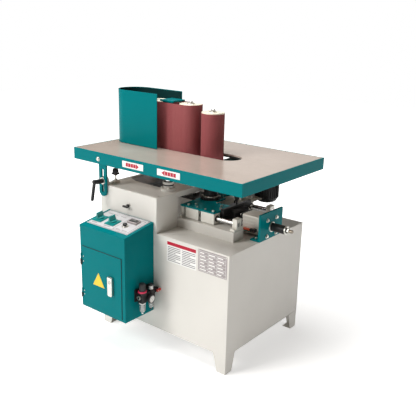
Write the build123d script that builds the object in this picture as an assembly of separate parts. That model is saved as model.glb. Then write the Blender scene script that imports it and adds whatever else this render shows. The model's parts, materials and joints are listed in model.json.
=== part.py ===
from build123d import *
import math
import os

# Drum and belt sander: a sheet-metal cabinet carries a height-adjustable table.
# A guarded abrasive belt and a separate sanding drum stand up through the table.
# Dimensions are in millimetres. The parts are laid out from the table's centre
# (x = 0, y = 0) and the floor (z = 0), and moved to the row frame on export.

# ---- driving dimensions -------------------------------------------------
TABLE_L, TABLE_W, TABLE_Z = 1000, 667, 882
PLATE_T, APRON_H, APRON_T = 8, 56, 6
SLOT_R, SLOT_Y, SLOT_X0, SLOT_X1 = 62.5, 9.5, -262, 178

CAB_X0, CAB_X1, CAB_Y0, CAB_Y1 = -331, 440, -318, 283
SHEET, FOOT_Z, DECK_Z, HEAD_X1, HEAD_Z = 3, 88, 559, 31, 726
FOOT_W, FOOT_W_TOP = 47, 70
HEAD_GAP_Y, HEAD_GAP_Z0, HEAD_GAP_Z1 = 172, 600, 700

AXIS_Y = 12
DRIVE_X, IDLER_X, DRUM_X = -250, -55, 80
BELT_DRUM_R, BELT_GAP, BELT_T = 55, 0.3, 1.6
BELT_Z0, BELT_Z1 = 824, 1104
DRUM_R, SLEEVE_T, DRUM_Z1 = 53, 1.5, 1080
SPINDLE_R, BORE_GAP = 12, 0.05
BEARING_R, HOUSING_R = 24, 34

GUARD_X, GUARD_R, GUARD_T, GUARD_END, GUARD_Z = -400, 92, 2.5, -178, 1147

RAIL_Y, RAIL_Z, RAIL_R = 135, 633, 10
PLINTH_X1, PLINTH_Z, PLINTH_Y0, PLINTH_Y1 = 357, 606, 104, 178
CARR_Z0, CARR_Z1, CARR_X0, CARR_X1, CARR_Y = 658, 666, 35, 233, 160
MOTOR_X, MOTOR_Y, MOTOR_R = 262, 222, 60
PULLEY_R, PULLEY_Z0, PULLEY_Z1 = 36, 794, 818

STEP_X, REAR_STEP_X = 130, 102
ARM_X0, ARM_Y0, BEAM_X1 = 190, 108, 250
CYL_X0, CYL_Y, CYL_Z, ROD_R, ROD_TIP_X = 300, -5, 611, 8, 551
TUBE_X, TUBE_X1, TUBE_Y, TUBE_Z, TUBE_R = 300, 376, -62, 592, 6.5

BOX_X0, BOX_X1, BOX_Y0, BOX_Z0, BOX_Z1, BOX_Z2 = -277, 13, -500, 176, 581, 611
DOOR_X0, DOOR_X1, DOOR_Z0, DOOR_Z1, DOOR_T = -263, -8, 189, 480, 3
HINGE_X, HINGE_Y, HINGE_R = -268, -505, 4
LATCH_X, LATCH_Y, LATCH_Z, LATCH_T = -71, -508, 376, 8
HINGES = [(388, 444), (224, 268)]
SWITCH_LEFT, SWITCH_RIGHT, BUTTON, METER = (-230, -415), (-148, -415), (-68, -415), (-62, -366)
BEZEL_H = 6
SWITCH_BASE, KNOB_DISC_R, GRIP_W, GRIP_L = 57, 20, 12, 38
UNIT_X, FILTER_Y, OILER_Y, BOWL_Z = 42, -422, -366, 262
GAUGE_Y, GAUGE_Z, GAUGE_R, GAUGE_X0, GAUGE_X1 = -391, 276, 19, 48, 72
VALVE_Y, VALVE_Z, LEVER_X, LEVER_END = -345, 300, 60.4, -322
WING_X, WING_Z = -146, 655

STUD_X, STUD_Z, STUD_R = -307, 747, 6
LINK_Y0, LINK_Y1 = -327.5, -318.6
KNOB_X, KNOB_Y = -296, -254
COLUMNS = [(-24, -178), (-24, 205), (-285, 215)]
COLUMN_R = 15

LATCH_FRONT = LATCH_Y - LATCH_T
ORIGIN_X = (ROD_TIP_X - TABLE_L / 2) / 2
ORIGIN_Y = (LATCH_FRONT + TABLE_W / 2) / 2


# ---- shape helpers --------------------------------------------------------
def block(x0, x1, y0, y1, z0, z1):
    """A box between two corners."""
    centre = Pos((x0 + x1) / 2, (y0 + y1) / 2, (z0 + z1) / 2)
    return centre * Box(x1 - x0, y1 - y0, z1 - z0)


def post(x, y, r, z0, z1):
    """An upright cylinder."""
    return Pos(x, y, (z0 + z1) / 2) * Cylinder(r, z1 - z0)


def bar_x(y, z, r, x0, x1):
    """A cylinder along X."""
    return Pos((x0 + x1) / 2, y, z) * Rot(0, 90, 0) * Cylinder(r, x1 - x0)


def bar_y(x, z, r, y0, y1):
    """A cylinder along Y."""
    return Pos(x, (y0 + y1) / 2, z) * Rot(90, 0, 0) * Cylinder(r, y1 - y0)


def prism(points, along):
    """A polygon given by 3-D points, extruded by the vector along."""
    face = make_face(Polyline(*points, close=True))
    way = Vector(*along)
    return extrude(face, amount=way.length, dir=way.normalized())


def stadium(xa, ya, xb, yb, r, z0, z1):
    """An upright slot shape of radius r between two centres."""
    length = math.hypot(xb - xa, yb - ya)
    turn = math.degrees(math.atan2(yb - ya, xb - xa))
    outline = Rot(0, 0, turn) * SlotCenterToCenter(length, 2 * r)
    return extrude(Pos((xa + xb) / 2, (ya + yb) / 2, z0) * outline, amount=z1 - z0)


def round_bar(start, end, r):
    """A round bar between two points."""
    line = Line(start, end)
    return sweep(Plane(line @ 0, z_dir=line % 0) * Circle(r), path=line)


def slope_frame(x, y):
    """The frame on the electrical box's sloping top at plan position x, y."""
    rise = (BOX_Z2 - BOX_Z1) / (CAB_Y0 - BOX_Y0)
    return Pos(x, y, BOX_Z1 + (y - BOX_Y0) * rise) * Rot(math.degrees(math.atan(rise)), 0, 0)


def hexagon(x, y, across, z0, z1):
    """An upright hexagonal prism, for nuts and bolt heads."""
    outline = RegularPolygon(across / 2, 6, major_radius=False)
    return extrude(Pos(x, y, z0) * outline, amount=z1 - z0)


def bolt_head(x, y, z):
    """A socket-head bolt head standing on height z."""
    return post(x, y, 6, z, z + 7) - post(x, y, 3, z + 3, z + 7)


# ---- cabinet --------------------------------------------------------------
def side_outline(y):
    """The L-shaped outline of the front and rear sheets at depth y."""
    return [
        (CAB_X0, y, FOOT_Z), (CAB_X1, y, FOOT_Z), (CAB_X1, y, DECK_Z),
        (HEAD_X1, y, DECK_Z), (HEAD_X1, y, HEAD_Z), (CAB_X0, y, HEAD_Z),
    ]


def front_panel():
    panel = prism(side_outline(CAB_Y0), (0, SHEET, 0))
    return panel - bar_y(WING_X, WING_Z, 4.05, CAB_Y0 - 1, CAB_Y0 + SHEET + 1)


def body_panels():
    """The cabinet's rear sheet, with its louvre slots, and its two side sheets."""
    rear = prism(side_outline(CAB_Y1 - SHEET), (0, SHEET, 0))
    for row in range(6):
        z = 200 + 22 * row
        rear -= block(60, 300, CAB_Y1 - 5, CAB_Y1 + 1, z, z + 6)
    y0, y1 = CAB_Y0 + SHEET, CAB_Y1 - SHEET
    left = block(CAB_X0, CAB_X0 + SHEET, y0, y1, FOOT_Z, HEAD_Z)
    right = block(CAB_X1 - SHEET, CAB_X1, y0, y1, FOOT_Z, DECK_Z)
    return [rear, left, right]


def deck_panel():
    """The lower deck, bent up to form the head's right wall."""
    y0, y1 = CAB_Y0 + SHEET, CAB_Y1 - SHEET
    deck = block(HEAD_X1 - SHEET, CAB_X1 - SHEET, y0, y1, DECK_Z - SHEET, DECK_Z)
    wall = block(HEAD_X1 - SHEET, HEAD_X1, y0, y1, DECK_Z, HEAD_Z - SHEET)
    gap = block(HEAD_X1 - 9, HEAD_X1 + 5, -HEAD_GAP_Y, HEAD_GAP_Y, HEAD_GAP_Z0, HEAD_GAP_Z1)
    tube_hole = post(TUBE_X, TUBE_Y, TUBE_R, DECK_Z - 9, DECK_Z + 1)
    return deck + wall - gap - tube_hole


def head_top_panel():
    """The head's top sheet, open over the spindles."""
    z0 = HEAD_Z - SHEET
    y0, y1 = CAB_Y0 + SHEET, CAB_Y1 - SHEET
    panel = block(CAB_X0 + SHEET, HEAD_X1, y0, y1, z0, HEAD_Z)
    opening = [(-315, -135, z0), (-245, -168, z0), (-80, -172, z0), (-80, 172, z0), (-315, 172, z0)]
    panel -= prism(opening, (0, 0, SHEET))
    panel -= block(-90, -15, AXIS_Y - 44, AXIS_Y + 44, z0, HEAD_Z)
    panel -= block(STUD_X - 22, STUD_X + 22, y0, y0 + 12, z0, HEAD_Z)
    for x, y in COLUMNS:
        panel -= post(x, y, COLUMN_R + 1, z0, HEAD_Z)
    return panel


def cabinet_feet():
    """Four folded corner feet that taper towards their soles."""
    feet = []
    for x, sx in ((CAB_X0, 1), (CAB_X1, -1)):
        for y, sy in ((CAB_Y0, 1), (CAB_Y1, -1)):
            low_x, high_x = x + sx * FOOT_W, x + sx * FOOT_W_TOP
            low_y, high_y = y + sy * FOOT_W, y + sy * FOOT_W_TOP
            in_x = [(x, y, 0), (low_x, y, 0), (high_x, y, FOOT_Z), (x, y, FOOT_Z)]
            in_y = [(x, y, 0), (x, low_y, 0), (x, high_y, FOOT_Z), (x, y, FOOT_Z)]
            foot = prism(in_x, (0, sy * SHEET, 0)) + prism(in_y, (sx * SHEET, 0, 0))
            foot += block(min(x, low_x), max(x, low_x), min(y, low_y), max(y, low_y), 0, SHEET)
            feet.append(foot)
    return feet


# ---- tension rails and air cylinder ----------------------------------------
def rail_plinths():
    """Two folded channels on the deck that carry the rails."""
    out = []
    for side in (-1, 1):
        ya, yb = sorted((side * PLINTH_Y0, side * PLINTH_Y1))
        shell = block(HEAD_X1, PLINTH_X1, ya, yb, DECK_Z, PLINTH_Z)
        out.append(shell - block(HEAD_X1, PLINTH_X1 - 4, ya + 4, yb - 4, DECK_Z, PLINTH_Z - 4))
    return out


def shaft_supports():
    """Four clamp blocks that hold the rail shafts' ends."""
    out = []
    for side in (-1, 1):
        y = side * RAIL_Y
        for x0, x1 in ((34, 50), (330, 354)):
            support = block(x0, x1, y - 18, y + 18, PLINTH_Z + 10, 658)
            support += block(x0, x1, y - 34, y + 34, PLINTH_Z, PLINTH_Z + 10)
            out.append(support - bar_x(y, RAIL_Z, RAIL_R, x0, x1))
    return out


def rail_shafts():
    return [bar_x(side * RAIL_Y, RAIL_Z, RAIL_R, 34, 354) for side in (-1, 1)]


def bearing_blocks():
    """Four linear bearing blocks under the carriage plate."""
    out = []
    for side in (-1, 1):
        y = side * RAIL_Y
        for x0, x1 in ((66, 141), (156, 231)):
            body = block(x0, x1, y - 23, y + 23, 609, CARR_Z0)
            out.append(body - bar_x(y, RAIL_Z, RAIL_R + BORE_GAP, x0, x1))
    return out


def carriage_plate():
    plate = block(CARR_X0, CARR_X1, -CARR_Y, CARR_Y, CARR_Z0, CARR_Z1)
    plate -= block(STEP_X, CARR_X1, -20, CARR_Y, CARR_Z0, CARR_Z1)
    plate -= block(REAR_STEP_X, STEP_X, 65, CARR_Y, CARR_Z0, CARR_Z1)
    return plate + block(-112, CARR_X0, AXIS_Y - 62, AXIS_Y + 62, CARR_Z0, CARR_Z1)


def carriage_bolts():
    spots = [(73, -145), (96, -119), (219, -149), (222, -96), (73, 145), (88, 119), (200, -60)]
    return [bolt_head(x, y, CARR_Z1) for x, y in spots]


def cylinder_bracket():
    """The L-shaped plate at the deck's right edge that the air cylinder hangs from."""
    plate = block(431, 441, -98, 84, DECK_Z, 684)
    plate += block(390, 431, -98, 84, DECK_Z, DECK_Z + 7)
    return plate - bar_x(CYL_Y, CYL_Z, 20, 431, 441)


def bracket_bolts():
    """Screws through the cylinder bracket and into its foot."""
    out = []
    for y, z in ((-42, 648), (32, 648), (-42, 574), (32, 574)):
        out.append(bar_x(y, z, 6, 441, 447))
    for y in (-80, 66):
        out.append(bolt_head(410, y, DECK_Z + 7))
    return out


def cylinder_barrel():
    """A short square air cylinder with its stroke sleeve on the outside of the bracket."""
    body = block(CYL_X0, 431, CYL_Y - 43, CYL_Y + 43, CYL_Z - 43, CYL_Z + 43)
    body = fillet(body.edges().filter_by(Axis.X), 7)
    body += bar_x(CYL_Y, CYL_Z, 20, 431, 441)
    body += bar_x(CYL_Y, CYL_Z, 23, 441, 446)
    body += bar_x(CYL_Y, CYL_Z, 19.5, 446, 521)
    body += bar_x(CYL_Y, CYL_Z, 13, 521, 526)
    body += block(TUBE_X1, TUBE_X1 + 16, TUBE_Y - 8, CYL_Y - 43, TUBE_Z - 8, TUBE_Z + 8)
    return body - bar_x(CYL_Y, CYL_Z, ROD_R + BORE_GAP, CYL_X0, 526)


def cylinder_rod():
    rod = bar_x(CYL_Y, CYL_Z, ROD_R, 255, ROD_TIP_X)
    return chamfer(rod.edges().group_by(Axis.X)[-1], 2)


def tension_block():
    """The black block and beam at the carriage plate's right edge that the rod pulls on."""
    body = block(190, 278, -60, 50, 590, CARR_Z0)
    body = chamfer(body.edges().filter_by(Axis.Y).sort_by(Axis.X)[-2:], 8)
    body += block(CARR_X1, BEAM_X1, -112, ARM_Y0, 640, CARR_Z1 + 6)
    return body - bar_x(CYL_Y, CYL_Z, ROD_R, 255, 278)


def air_tube():
    """The air line: up through the deck, and round one bend into the cylinder."""
    start, corner, end = (TUBE_X, TUBE_Y, DECK_Z - 40), (TUBE_X, TUBE_Y, TUBE_Z), (TUBE_X1, TUBE_Y, TUBE_Z)
    route = FilletPolyline(start, corner, end, radius=22)
    return sweep(Plane(route @ 0, z_dir=route % 0) * Circle(TUBE_R - 0.5), path=route)


# ---- belt unit --------------------------------------------------------------
def drive_housing():
    """A carrier plate under the head's top, with the drive spindle's housing tube."""
    z1 = HEAD_Z - SHEET
    body = block(-322, -178, -195, 195, z1 - 12, z1)
    body += post(DRIVE_X, AXIS_Y, 40, 640, 800)
    body -= post(DRIVE_X, AXIS_Y, BEARING_R, 662, 778)
    return body - post(DRIVE_X, AXIS_Y, SPINDLE_R + BORE_GAP, 640, 800)


def belt_motor():
    """The belt's motor, hung under the drive spindle inside the cabinet."""
    body = post(DRIVE_X, AXIS_Y, 74, 350, 600)
    body = fillet(body.edges().group_by(Axis.Z)[0], 18)
    body += post(DRIVE_X, AXIS_Y, 50, 600, 640)
    return body - post(DRIVE_X, AXIS_Y, SPINDLE_R + BORE_GAP, 560, 640)


def drive_spindle():
    shaft = post(DRIVE_X, AXIS_Y, SPINDLE_R, 570, BELT_Z1)
    return [shaft, hexagon(DRIVE_X, AXIS_Y, 24, BELT_Z1, BELT_Z1 + 3)]


def belt_drum(x, bore):
    """A belt drum: a tube with a solid disc at each end."""
    drum = post(x, AXIS_Y, BELT_DRUM_R, BELT_Z0, BELT_Z1)
    drum -= post(x, AXIS_Y, BELT_DRUM_R - 9, BELT_Z0 + 20, BELT_Z1 - 20)
    return drum - post(x, AXIS_Y, bore, BELT_Z0, BELT_Z1)


def idler_post():
    """A flanged post on the carriage, with the idler's axle and its nut."""
    base = post(IDLER_X, AXIS_Y, 50, CARR_Z1, CARR_Z1 + 12)
    base += post(IDLER_X, AXIS_Y, 28, CARR_Z1 + 12, BELT_Z0 - 6)
    base += post(IDLER_X, AXIS_Y, SPINDLE_R, BELT_Z0 - 6, BELT_Z1 + 1)
    return [base, hexagon(IDLER_X, AXIS_Y, 28, BELT_Z1 + 1, BELT_Z1 + 8)]


def sanding_belt():
    """The endless abrasive belt around the drive drum and the idler."""
    inner = BELT_DRUM_R + BELT_GAP
    outer = stadium(DRIVE_X, AXIS_Y, IDLER_X, AXIS_Y, inner + BELT_T, BELT_Z0, BELT_Z1)
    return outer - stadium(DRIVE_X, AXIS_Y, IDLER_X, AXIS_Y, inner, BELT_Z0, BELT_Z1)


def platen():
    """The flat backing plate behind the belt's front run."""
    front = AXIS_Y - BELT_DRUM_R
    return block(-191, -130, front, front + 8, BELT_Z0 + 6, BELT_Z1 - 4)


def platen_bracket():
    """The upright that holds the platen, footed on the carrier, with a bridge on top."""
    back = AXIS_Y - BELT_DRUM_R + 8
    upright = block(-191, -130, back, back + 10, 723, 1108)
    upright += block(-191, -130, back, back + 62, 723, 735)
    upright += block(-205, -119, back - 6, back + 80, 1108, 1116)
    return upright


def guard_shell():
    """The U-shaped belt guard, open above and to the right."""
    far = GUARD_END + 2 * GUARD_R
    outer = stadium(GUARD_X, 0, far, 0, GUARD_R, TABLE_Z, GUARD_Z)
    inner = stadium(GUARD_X, 0, far, 0, GUARD_R - GUARD_T, TABLE_Z, GUARD_Z)
    return outer - inner - block(GUARD_END, far + GUARD_R, -GUARD_R, GUARD_R, TABLE_Z, GUARD_Z)


# ---- sanding drum -------------------------------------------------------------
def drum_housing():
    base = post(DRUM_X, AXIS_Y, 49, CARR_Z1, CARR_Z1 + 12)
    body = base + post(DRUM_X, AXIS_Y, HOUSING_R, CARR_Z1 + 12, 788)
    return body - post(DRUM_X, AXIS_Y, BEARING_R, CARR_Z1 + 6, 788)


def spindle_bearings():
    """The drum spindle's two ball bearings, each drawn as one ring."""
    out = []
    for z in (684, 770):
        ring = post(DRUM_X, AXIS_Y, BEARING_R - BORE_GAP, z, z + 16)
        out.append(ring - post(DRUM_X, AXIS_Y, SPINDLE_R + BORE_GAP, z, z + 16))
    return out


def small_spindle():
    """The drum's spindle with its pulley and top nut."""
    shaft = post(DRUM_X, AXIS_Y, SPINDLE_R, 676, DRUM_Z1)
    shaft += pulley(DRUM_X, AXIS_Y)
    return [shaft, hexagon(DRUM_X, AXIS_Y, 26, DRUM_Z1, DRUM_Z1 + 8)]


def pulley(x, y):
    """A pulley with a groove for the flat drive belt."""
    wheel = post(x, y, PULLEY_R + 6, PULLEY_Z0, PULLEY_Z1)
    groove = post(x, y, PULLEY_R + 7, PULLEY_Z0 + 4, PULLEY_Z1 - 4)
    return wheel - (groove - post(x, y, PULLEY_R, PULLEY_Z0 + 4, PULLEY_Z1 - 4))


def small_drum():
    drum = post(DRUM_X, AXIS_Y, DRUM_R, BELT_Z0, DRUM_Z1 - 4)
    drum += post(DRUM_X, AXIS_Y, DRUM_R + 1, DRUM_Z1 - 4, DRUM_Z1)
    return drum - post(DRUM_X, AXIS_Y, SPINDLE_R, BELT_Z0, DRUM_Z1)


def sanding_sleeve():
    z0, z1 = BELT_Z0 + 2, DRUM_Z1 - 4
    return post(DRUM_X, AXIS_Y, DRUM_R + SLEEVE_T, z0, z1) - post(DRUM_X, AXIS_Y, DRUM_R, z0, z1)


def drum_motor():
    body = post(MOTOR_X, MOTOR_Y, MOTOR_R, 645, 776)
    body = fillet(body.edges().group_by(Axis.Z)[0], 24)
    return body - post(MOTOR_X, MOTOR_Y, 10 + BORE_GAP, 740, 776)


def motor_pulley():
    return pulley(MOTOR_X, MOTOR_Y) + post(MOTOR_X, MOTOR_Y, 10, 742, PULLEY_Z0)


def motor_arm():
    """The arm on the rear bearing block that the drum motor is flanged to."""
    arm = stadium(228, 150, 244, 186, 36, CARR_Z1, CARR_Z1 + 10)
    arm += block(ARM_X0, BEAM_X1, ARM_Y0, CARR_Y, CARR_Z0, CARR_Z1 + 10)
    return arm - post(MOTOR_X, MOTOR_Y, MOTOR_R, CARR_Z1, CARR_Z1 + 10)


def drive_belt():
    """The loop from the drum motor's pulley to the drum's spindle."""
    z0, z1 = PULLEY_Z0 + 5, PULLEY_Z1 - 5
    inner = PULLEY_R + 0.4
    outer = stadium(DRUM_X, AXIS_Y, MOTOR_X, MOTOR_Y, inner + 4, z0, z1)
    return outer - stadium(DRUM_X, AXIS_Y, MOTOR_X, MOTOR_Y, inner, z0, z1)


# ---- table ----------------------------------------------------------------------
def table_top():
    half_l, half_w = TABLE_L / 2 - APRON_T, TABLE_W / 2 - APRON_T
    plate = block(-half_l, half_l, -half_w, half_w, TABLE_Z - PLATE_T, TABLE_Z)
    return plate - stadium(SLOT_X0, SLOT_Y, SLOT_X1, SLOT_Y, SLOT_R, TABLE_Z - PLATE_T, TABLE_Z)


def table_apron():
    """The rim: four strips mitred into one frame."""
    z0 = TABLE_Z - APRON_H
    half_l, half_w = TABLE_L / 2, TABLE_W / 2
    rim = block(-half_l, half_l, -half_w, half_w, z0, TABLE_Z)
    inside = block(-half_l + APRON_T, half_l - APRON_T, -half_w + APRON_T, half_w - APRON_T, z0, TABLE_Z)
    return rim - inside


def clamp_link():
    """The slotted plate that hangs from the rim and slides past the clamp stud."""
    width, z_low, z_high = 50, 672, 870
    body = block(STUD_X - width / 2, STUD_X + width / 2, LINK_Y0, LINK_Y1, z_low + width / 2, z_high)
    body += bar_y(STUD_X, z_low + width / 2, width / 2, LINK_Y0, LINK_Y1)
    slot_r, slot_z0, slot_z1 = 7, 697, 799
    slot = block(STUD_X - slot_r, STUD_X + slot_r, LINK_Y0, LINK_Y1, slot_z0, slot_z1)
    slot += bar_y(STUD_X, slot_z0, slot_r, LINK_Y0, LINK_Y1)
    slot += bar_y(STUD_X, slot_z1, slot_r, LINK_Y0, LINK_Y1)
    return body - slot


def table_columns():
    """Guide columns with a flange under the table."""
    out = []
    for x, y in COLUMNS:
        column = post(x, y, COLUMN_R, 620, TABLE_Z - PLATE_T - 8)
        out.append(column + post(x, y, 30, TABLE_Z - PLATE_T - 8, TABLE_Z - PLATE_T))
    return out


def column_flanges():
    """Flanged guide bushes on the head, each with four bolts."""
    out = []
    for x, y in COLUMNS:
        bush = post(x, y, 37, HEAD_Z, HEAD_Z + 12) + post(x, y, 23, HEAD_Z + 12, 758)
        bush += post(x, y, 27, 758, 768)
        for turn in range(4):
            angle = math.radians(45 + 90 * turn)
            bush += hexagon(x + 30 * math.cos(angle), y + 30 * math.sin(angle), 9, HEAD_Z + 12, HEAD_Z + 17)
        out.append(bush - post(x, y, COLUMN_R + BORE_GAP, HEAD_Z, 768))
    return out


# ---- table clamp and knobs ---------------------------------------------------------
def clamp_stud():
    """A lug inside the head's front sheet, its stud and the washer."""
    y0 = CAB_Y0 + SHEET
    lug = block(STUD_X - 21, STUD_X + 21, y0, y0 + 10, 640, STUD_Z)
    lug += bar_y(STUD_X, STUD_Z, 21, y0, y0 + 10)
    lug += bar_y(STUD_X, STUD_Z, STUD_R, -352, y0)
    washer = bar_y(STUD_X, STUD_Z, 17, LINK_Y0 - 3.3, LINK_Y0 - 0.3)
    return [lug, washer - bar_y(STUD_X, STUD_Z, STUD_R, LINK_Y0 - 4, LINK_Y0)]


def clamp_lever():
    """The clamping lever: a hub on the stud, and a handle cranked forwards and down."""
    y_back = LINK_Y0 - 3.8
    hub = bar_y(STUD_X, STUD_Z, 11.5, -362, y_back)
    elbow = Pos(-303, -382, 752) * Sphere(10.5)
    neck = round_bar((STUD_X, -358, STUD_Z), (-303, -382, 752), 10.5)
    handle = round_bar((-303, -382, 752), (-319, -384, 664), 7.5)
    tip = Pos(-319, -384, 664) * Sphere(7.5)
    body = hub + neck + elbow + handle + tip
    return body - bar_y(STUD_X, STUD_Z, STUD_R + BORE_GAP, -353, y_back)


def tracking_block():
    """The belt-tracking screw on its lug at the head's front left."""
    lug = block(KNOB_X - 13, KNOB_X + 13, KNOB_Y - 16, KNOB_Y + 16, HEAD_Z, HEAD_Z + 12)
    lug = chamfer(lug.edges().group_by(Axis.Z)[-1], 3)
    return lug + post(KNOB_X, KNOB_Y, 3.5, HEAD_Z + 12, 790)


def tracking_knob():
    """A flanged knob on the tracking screw."""
    body = Pos(KNOB_X, KNOB_Y, 763) * Cone(7, 15, 10)
    body += post(KNOB_X, KNOB_Y, 21, 768, 774)
    body += post(KNOB_X, KNOB_Y, 14, 774, 798)
    body = fillet(body.edges().group_by(Axis.Z)[-1], 6)
    return body - post(KNOB_X, KNOB_Y, 3.5 + BORE_GAP, 750, 791)


def panel_lock_knob():
    """The quarter-turn wing knob on the head's front sheet."""
    stem = bar_y(WING_X, WING_Z, 4, -334, CAB_Y0 + SHEET + 6)
    wing = block(WING_X - 16, WING_X + 16, -342, -333, WING_Z - 5, WING_Z + 5)
    wing = fillet(wing.edges().filter_by(Axis.Y), 4)
    return stem + wing + bar_y(WING_X, WING_Z, 9, -325, CAB_Y0 - 0.3)


# ---- electrical box ----------------------------------------------------------------------
def box_profile(inset):
    """The box's side profile, inset all round."""
    drop = inset * 1.02
    return [
        (BOX_Y0 + inset, BOX_Z0 + inset), (CAB_Y0 - inset, BOX_Z0 + inset),
        (CAB_Y0 - inset, BOX_Z2 - drop), (BOX_Y0 + inset, BOX_Z1 - drop),
    ]


def box_shell():
    """The electrical box: a folded case with a sloping top and a doorway."""
    wall = 2.5
    outer = prism([(BOX_X0, y, z) for y, z in box_profile(0)], (BOX_X1 - BOX_X0, 0, 0))
    inner_x = BOX_X0 + wall
    inner = prism([(inner_x, y, z) for y, z in box_profile(wall)], (BOX_X1 - BOX_X0 - 2 * wall, 0, 0))
    doorway = block(DOOR_X0 + 8, DOOR_X1 - 8, BOX_Y0 - 1, BOX_Y0 + wall + 1, DOOR_Z0 + 8, DOOR_Z1 - 8)
    shell = outer - inner - doorway
    for x, y in (SWITCH_LEFT, SWITCH_RIGHT, BUTTON):
        shell -= slope_frame(x, y) * Cylinder(5, 12)
    return shell


def box_door():
    """The door, with an inner rim and two hinge knuckles."""
    y1 = BOX_Y0 - 0.4
    y0 = y1 - DOOR_T
    door = block(DOOR_X0, DOOR_X1, y0, y1, DOOR_Z0, DOOR_Z1)
    door = fillet(door.edges().filter_by(Axis.Y), 3)
    rim = block(DOOR_X0 + 14, DOOR_X1 - 12, y1, y1 + 12, DOOR_Z0 + 12, DOOR_Z1 - 12)
    rim -= block(DOOR_X0 + 16, DOOR_X1 - 14, y1, y1 + 12, DOOR_Z0 + 14, DOOR_Z1 - 14)
    door += rim
    for z0, z1 in HINGES:
        mid = (z0 + z1) / 2 + 0.4
        door += post(HINGE_X, HINGE_Y, HINGE_R, mid, z1) + block(HINGE_X, DOOR_X0 + 4, y0, y1, mid, z1)
        door -= post(HINGE_X, HINGE_Y, 1.8 + BORE_GAP, mid - 1, z1 + 1)
    return door


def door_hinges():
    """The hinges' fixed halves, with their pins."""
    out = []
    for z0, z1 in HINGES:
        mid = (z0 + z1) / 2
        half = post(HINGE_X, HINGE_Y, HINGE_R, z0, mid) + post(HINGE_X, HINGE_Y, 1.8, mid, z1)
        out.append(half + block(BOX_X0 + 1, HINGE_X + 1, HINGE_Y - 1, BOX_Y0, z0, mid))
    return out


def door_latch():
    """The latch handle: its lower end lifts away from the door about its top."""
    face = BOX_Y0 - 0.4 - DOOR_T - 0.3
    r = face - LATCH_Y
    handle = block(LATCH_X - 14, LATCH_X + 14, LATCH_FRONT, face, 288, LATCH_Z)
    handle = fillet(handle.edges().filter_by(Axis.Y).sort_by(Axis.Z)[:2], 8)
    top = Pos(LATCH_X, LATCH_Y, LATCH_Z) * Rot(0, 90, 0) * Cylinder(r, 28)
    return handle + top + block(LATCH_X - 14, LATCH_X + 14, LATCH_FRONT, LATCH_Y, LATCH_Z, LATCH_Z + 3)


def control_panel():
    """The pale fascia on the sloping top."""
    middle = slope_frame((BOX_X0 + BOX_X1) / 2, -396)
    plate = middle * Pos(0, 0, 0.6) * Box(262, 150, 1.2)
    for x, y in (SWITCH_LEFT, SWITCH_RIGHT, BUTTON):
        plate -= slope_frame(x, y) * Cylinder(5, 12)
    return plate


def panel_fittings():
    """Square switch bases, the button's collar and the panel meter."""
    out = []
    for x, y in (SWITCH_LEFT, SWITCH_RIGHT):
        base = slope_frame(x, y) * Pos(0, 0, 1.2 + BEZEL_H / 2) * Box(SWITCH_BASE, SWITCH_BASE, BEZEL_H)
        out.append(base - slope_frame(x, y) * Cylinder(4 + BORE_GAP, 40))
    frame = slope_frame(*BUTTON)
    collar = frame * Pos(0, 0, 1.2 + BEZEL_H / 2) * Cylinder(13, BEZEL_H)
    out.append(collar - frame * Cylinder(4 + BORE_GAP, 40) - frame * Pos(0, 0, 6.2) * Cylinder(10.3, 4))
    out.append(slope_frame(*METER) * Pos(0, 0, 1.2 + 4) * Box(58, 34, 8))
    return out


def switch_knob(x, y):
    """A rotary switch knob: a disc with a finger bar, on a stem."""
    frame = slope_frame(x, y)
    base = 1.2 + BEZEL_H + 0.2
    knob = frame * Pos(0, 0, base + 4) * Cylinder(KNOB_DISC_R, 8)
    grip = frame * Pos(0, 0, base + 19) * Box(GRIP_W, GRIP_L, 22)
    stem = frame * Pos(0, 0, base - 7) * Cylinder(4, 14)
    return knob + grip + stem


def stop_button():
    """A spring-return push button."""
    frame = slope_frame(*BUTTON)
    cap = frame * Pos(0, 0, 14) * Cylinder(10, 8)
    return cap + frame * Pos(0, 0, 3) * Cylinder(4, 15)


def contactor_bank():
    """The rail and the three switch blocks inside the box."""
    rail = block(-250, -20, -328, CAB_Y0 - 2.5, 400, 435)
    blocks = [block(x, x + 50, -400, -328, 380, 455) for x in (-240, -170, -90)]
    return [rail] + blocks


# ---- air preparation unit --------------------------------------------------------------------
def air_unit_body():
    """Filter regulator, oiler, gauge and stop valve on one bracket."""
    body = block(BOX_X1, BOX_X1 + 4, -444, -340, BOWL_Z, 322)
    body += block(BOX_X1 + 4, UNIT_X - 10, -434, -358, 280, 304)
    body += block(UNIT_X - 14, UNIT_X + 14, FILTER_Y - 14, FILTER_Y + 14, BOWL_Z, 312)
    body += block(UNIT_X - 10, UNIT_X + 10, FILTER_Y + 14, OILER_Y - 13, 270, 304)
    body += block(UNIT_X - 13, UNIT_X + 13, OILER_Y - 13, OILER_Y + 13, BOWL_Z, 310)
    body += post(UNIT_X, OILER_Y, 9, 310, 335)
    body += bar_y(UNIT_X - 4, 288, 8, FILTER_Y - 22, FILTER_Y - 14)
    body += bar_x(GAUGE_Y, GAUGE_Z, GAUGE_R, GAUGE_X0 + 12, GAUGE_X1)
    body += bar_x(GAUGE_Y, GAUGE_Z, 6, GAUGE_X0, GAUGE_X0 + 12)
    body += block(UNIT_X - 11, UNIT_X + 11, OILER_Y + 13, VALVE_Y + 10, VALVE_Z - 11, VALVE_Z + 9)
    body += bar_x(VALVE_Y, VALVE_Z, 5, UNIT_X + 11, LEVER_X - 0.4)
    return body + bar_y(UNIT_X, VALVE_Z - 2, 8, VALVE_Y + 10, CAB_Y0)


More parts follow.
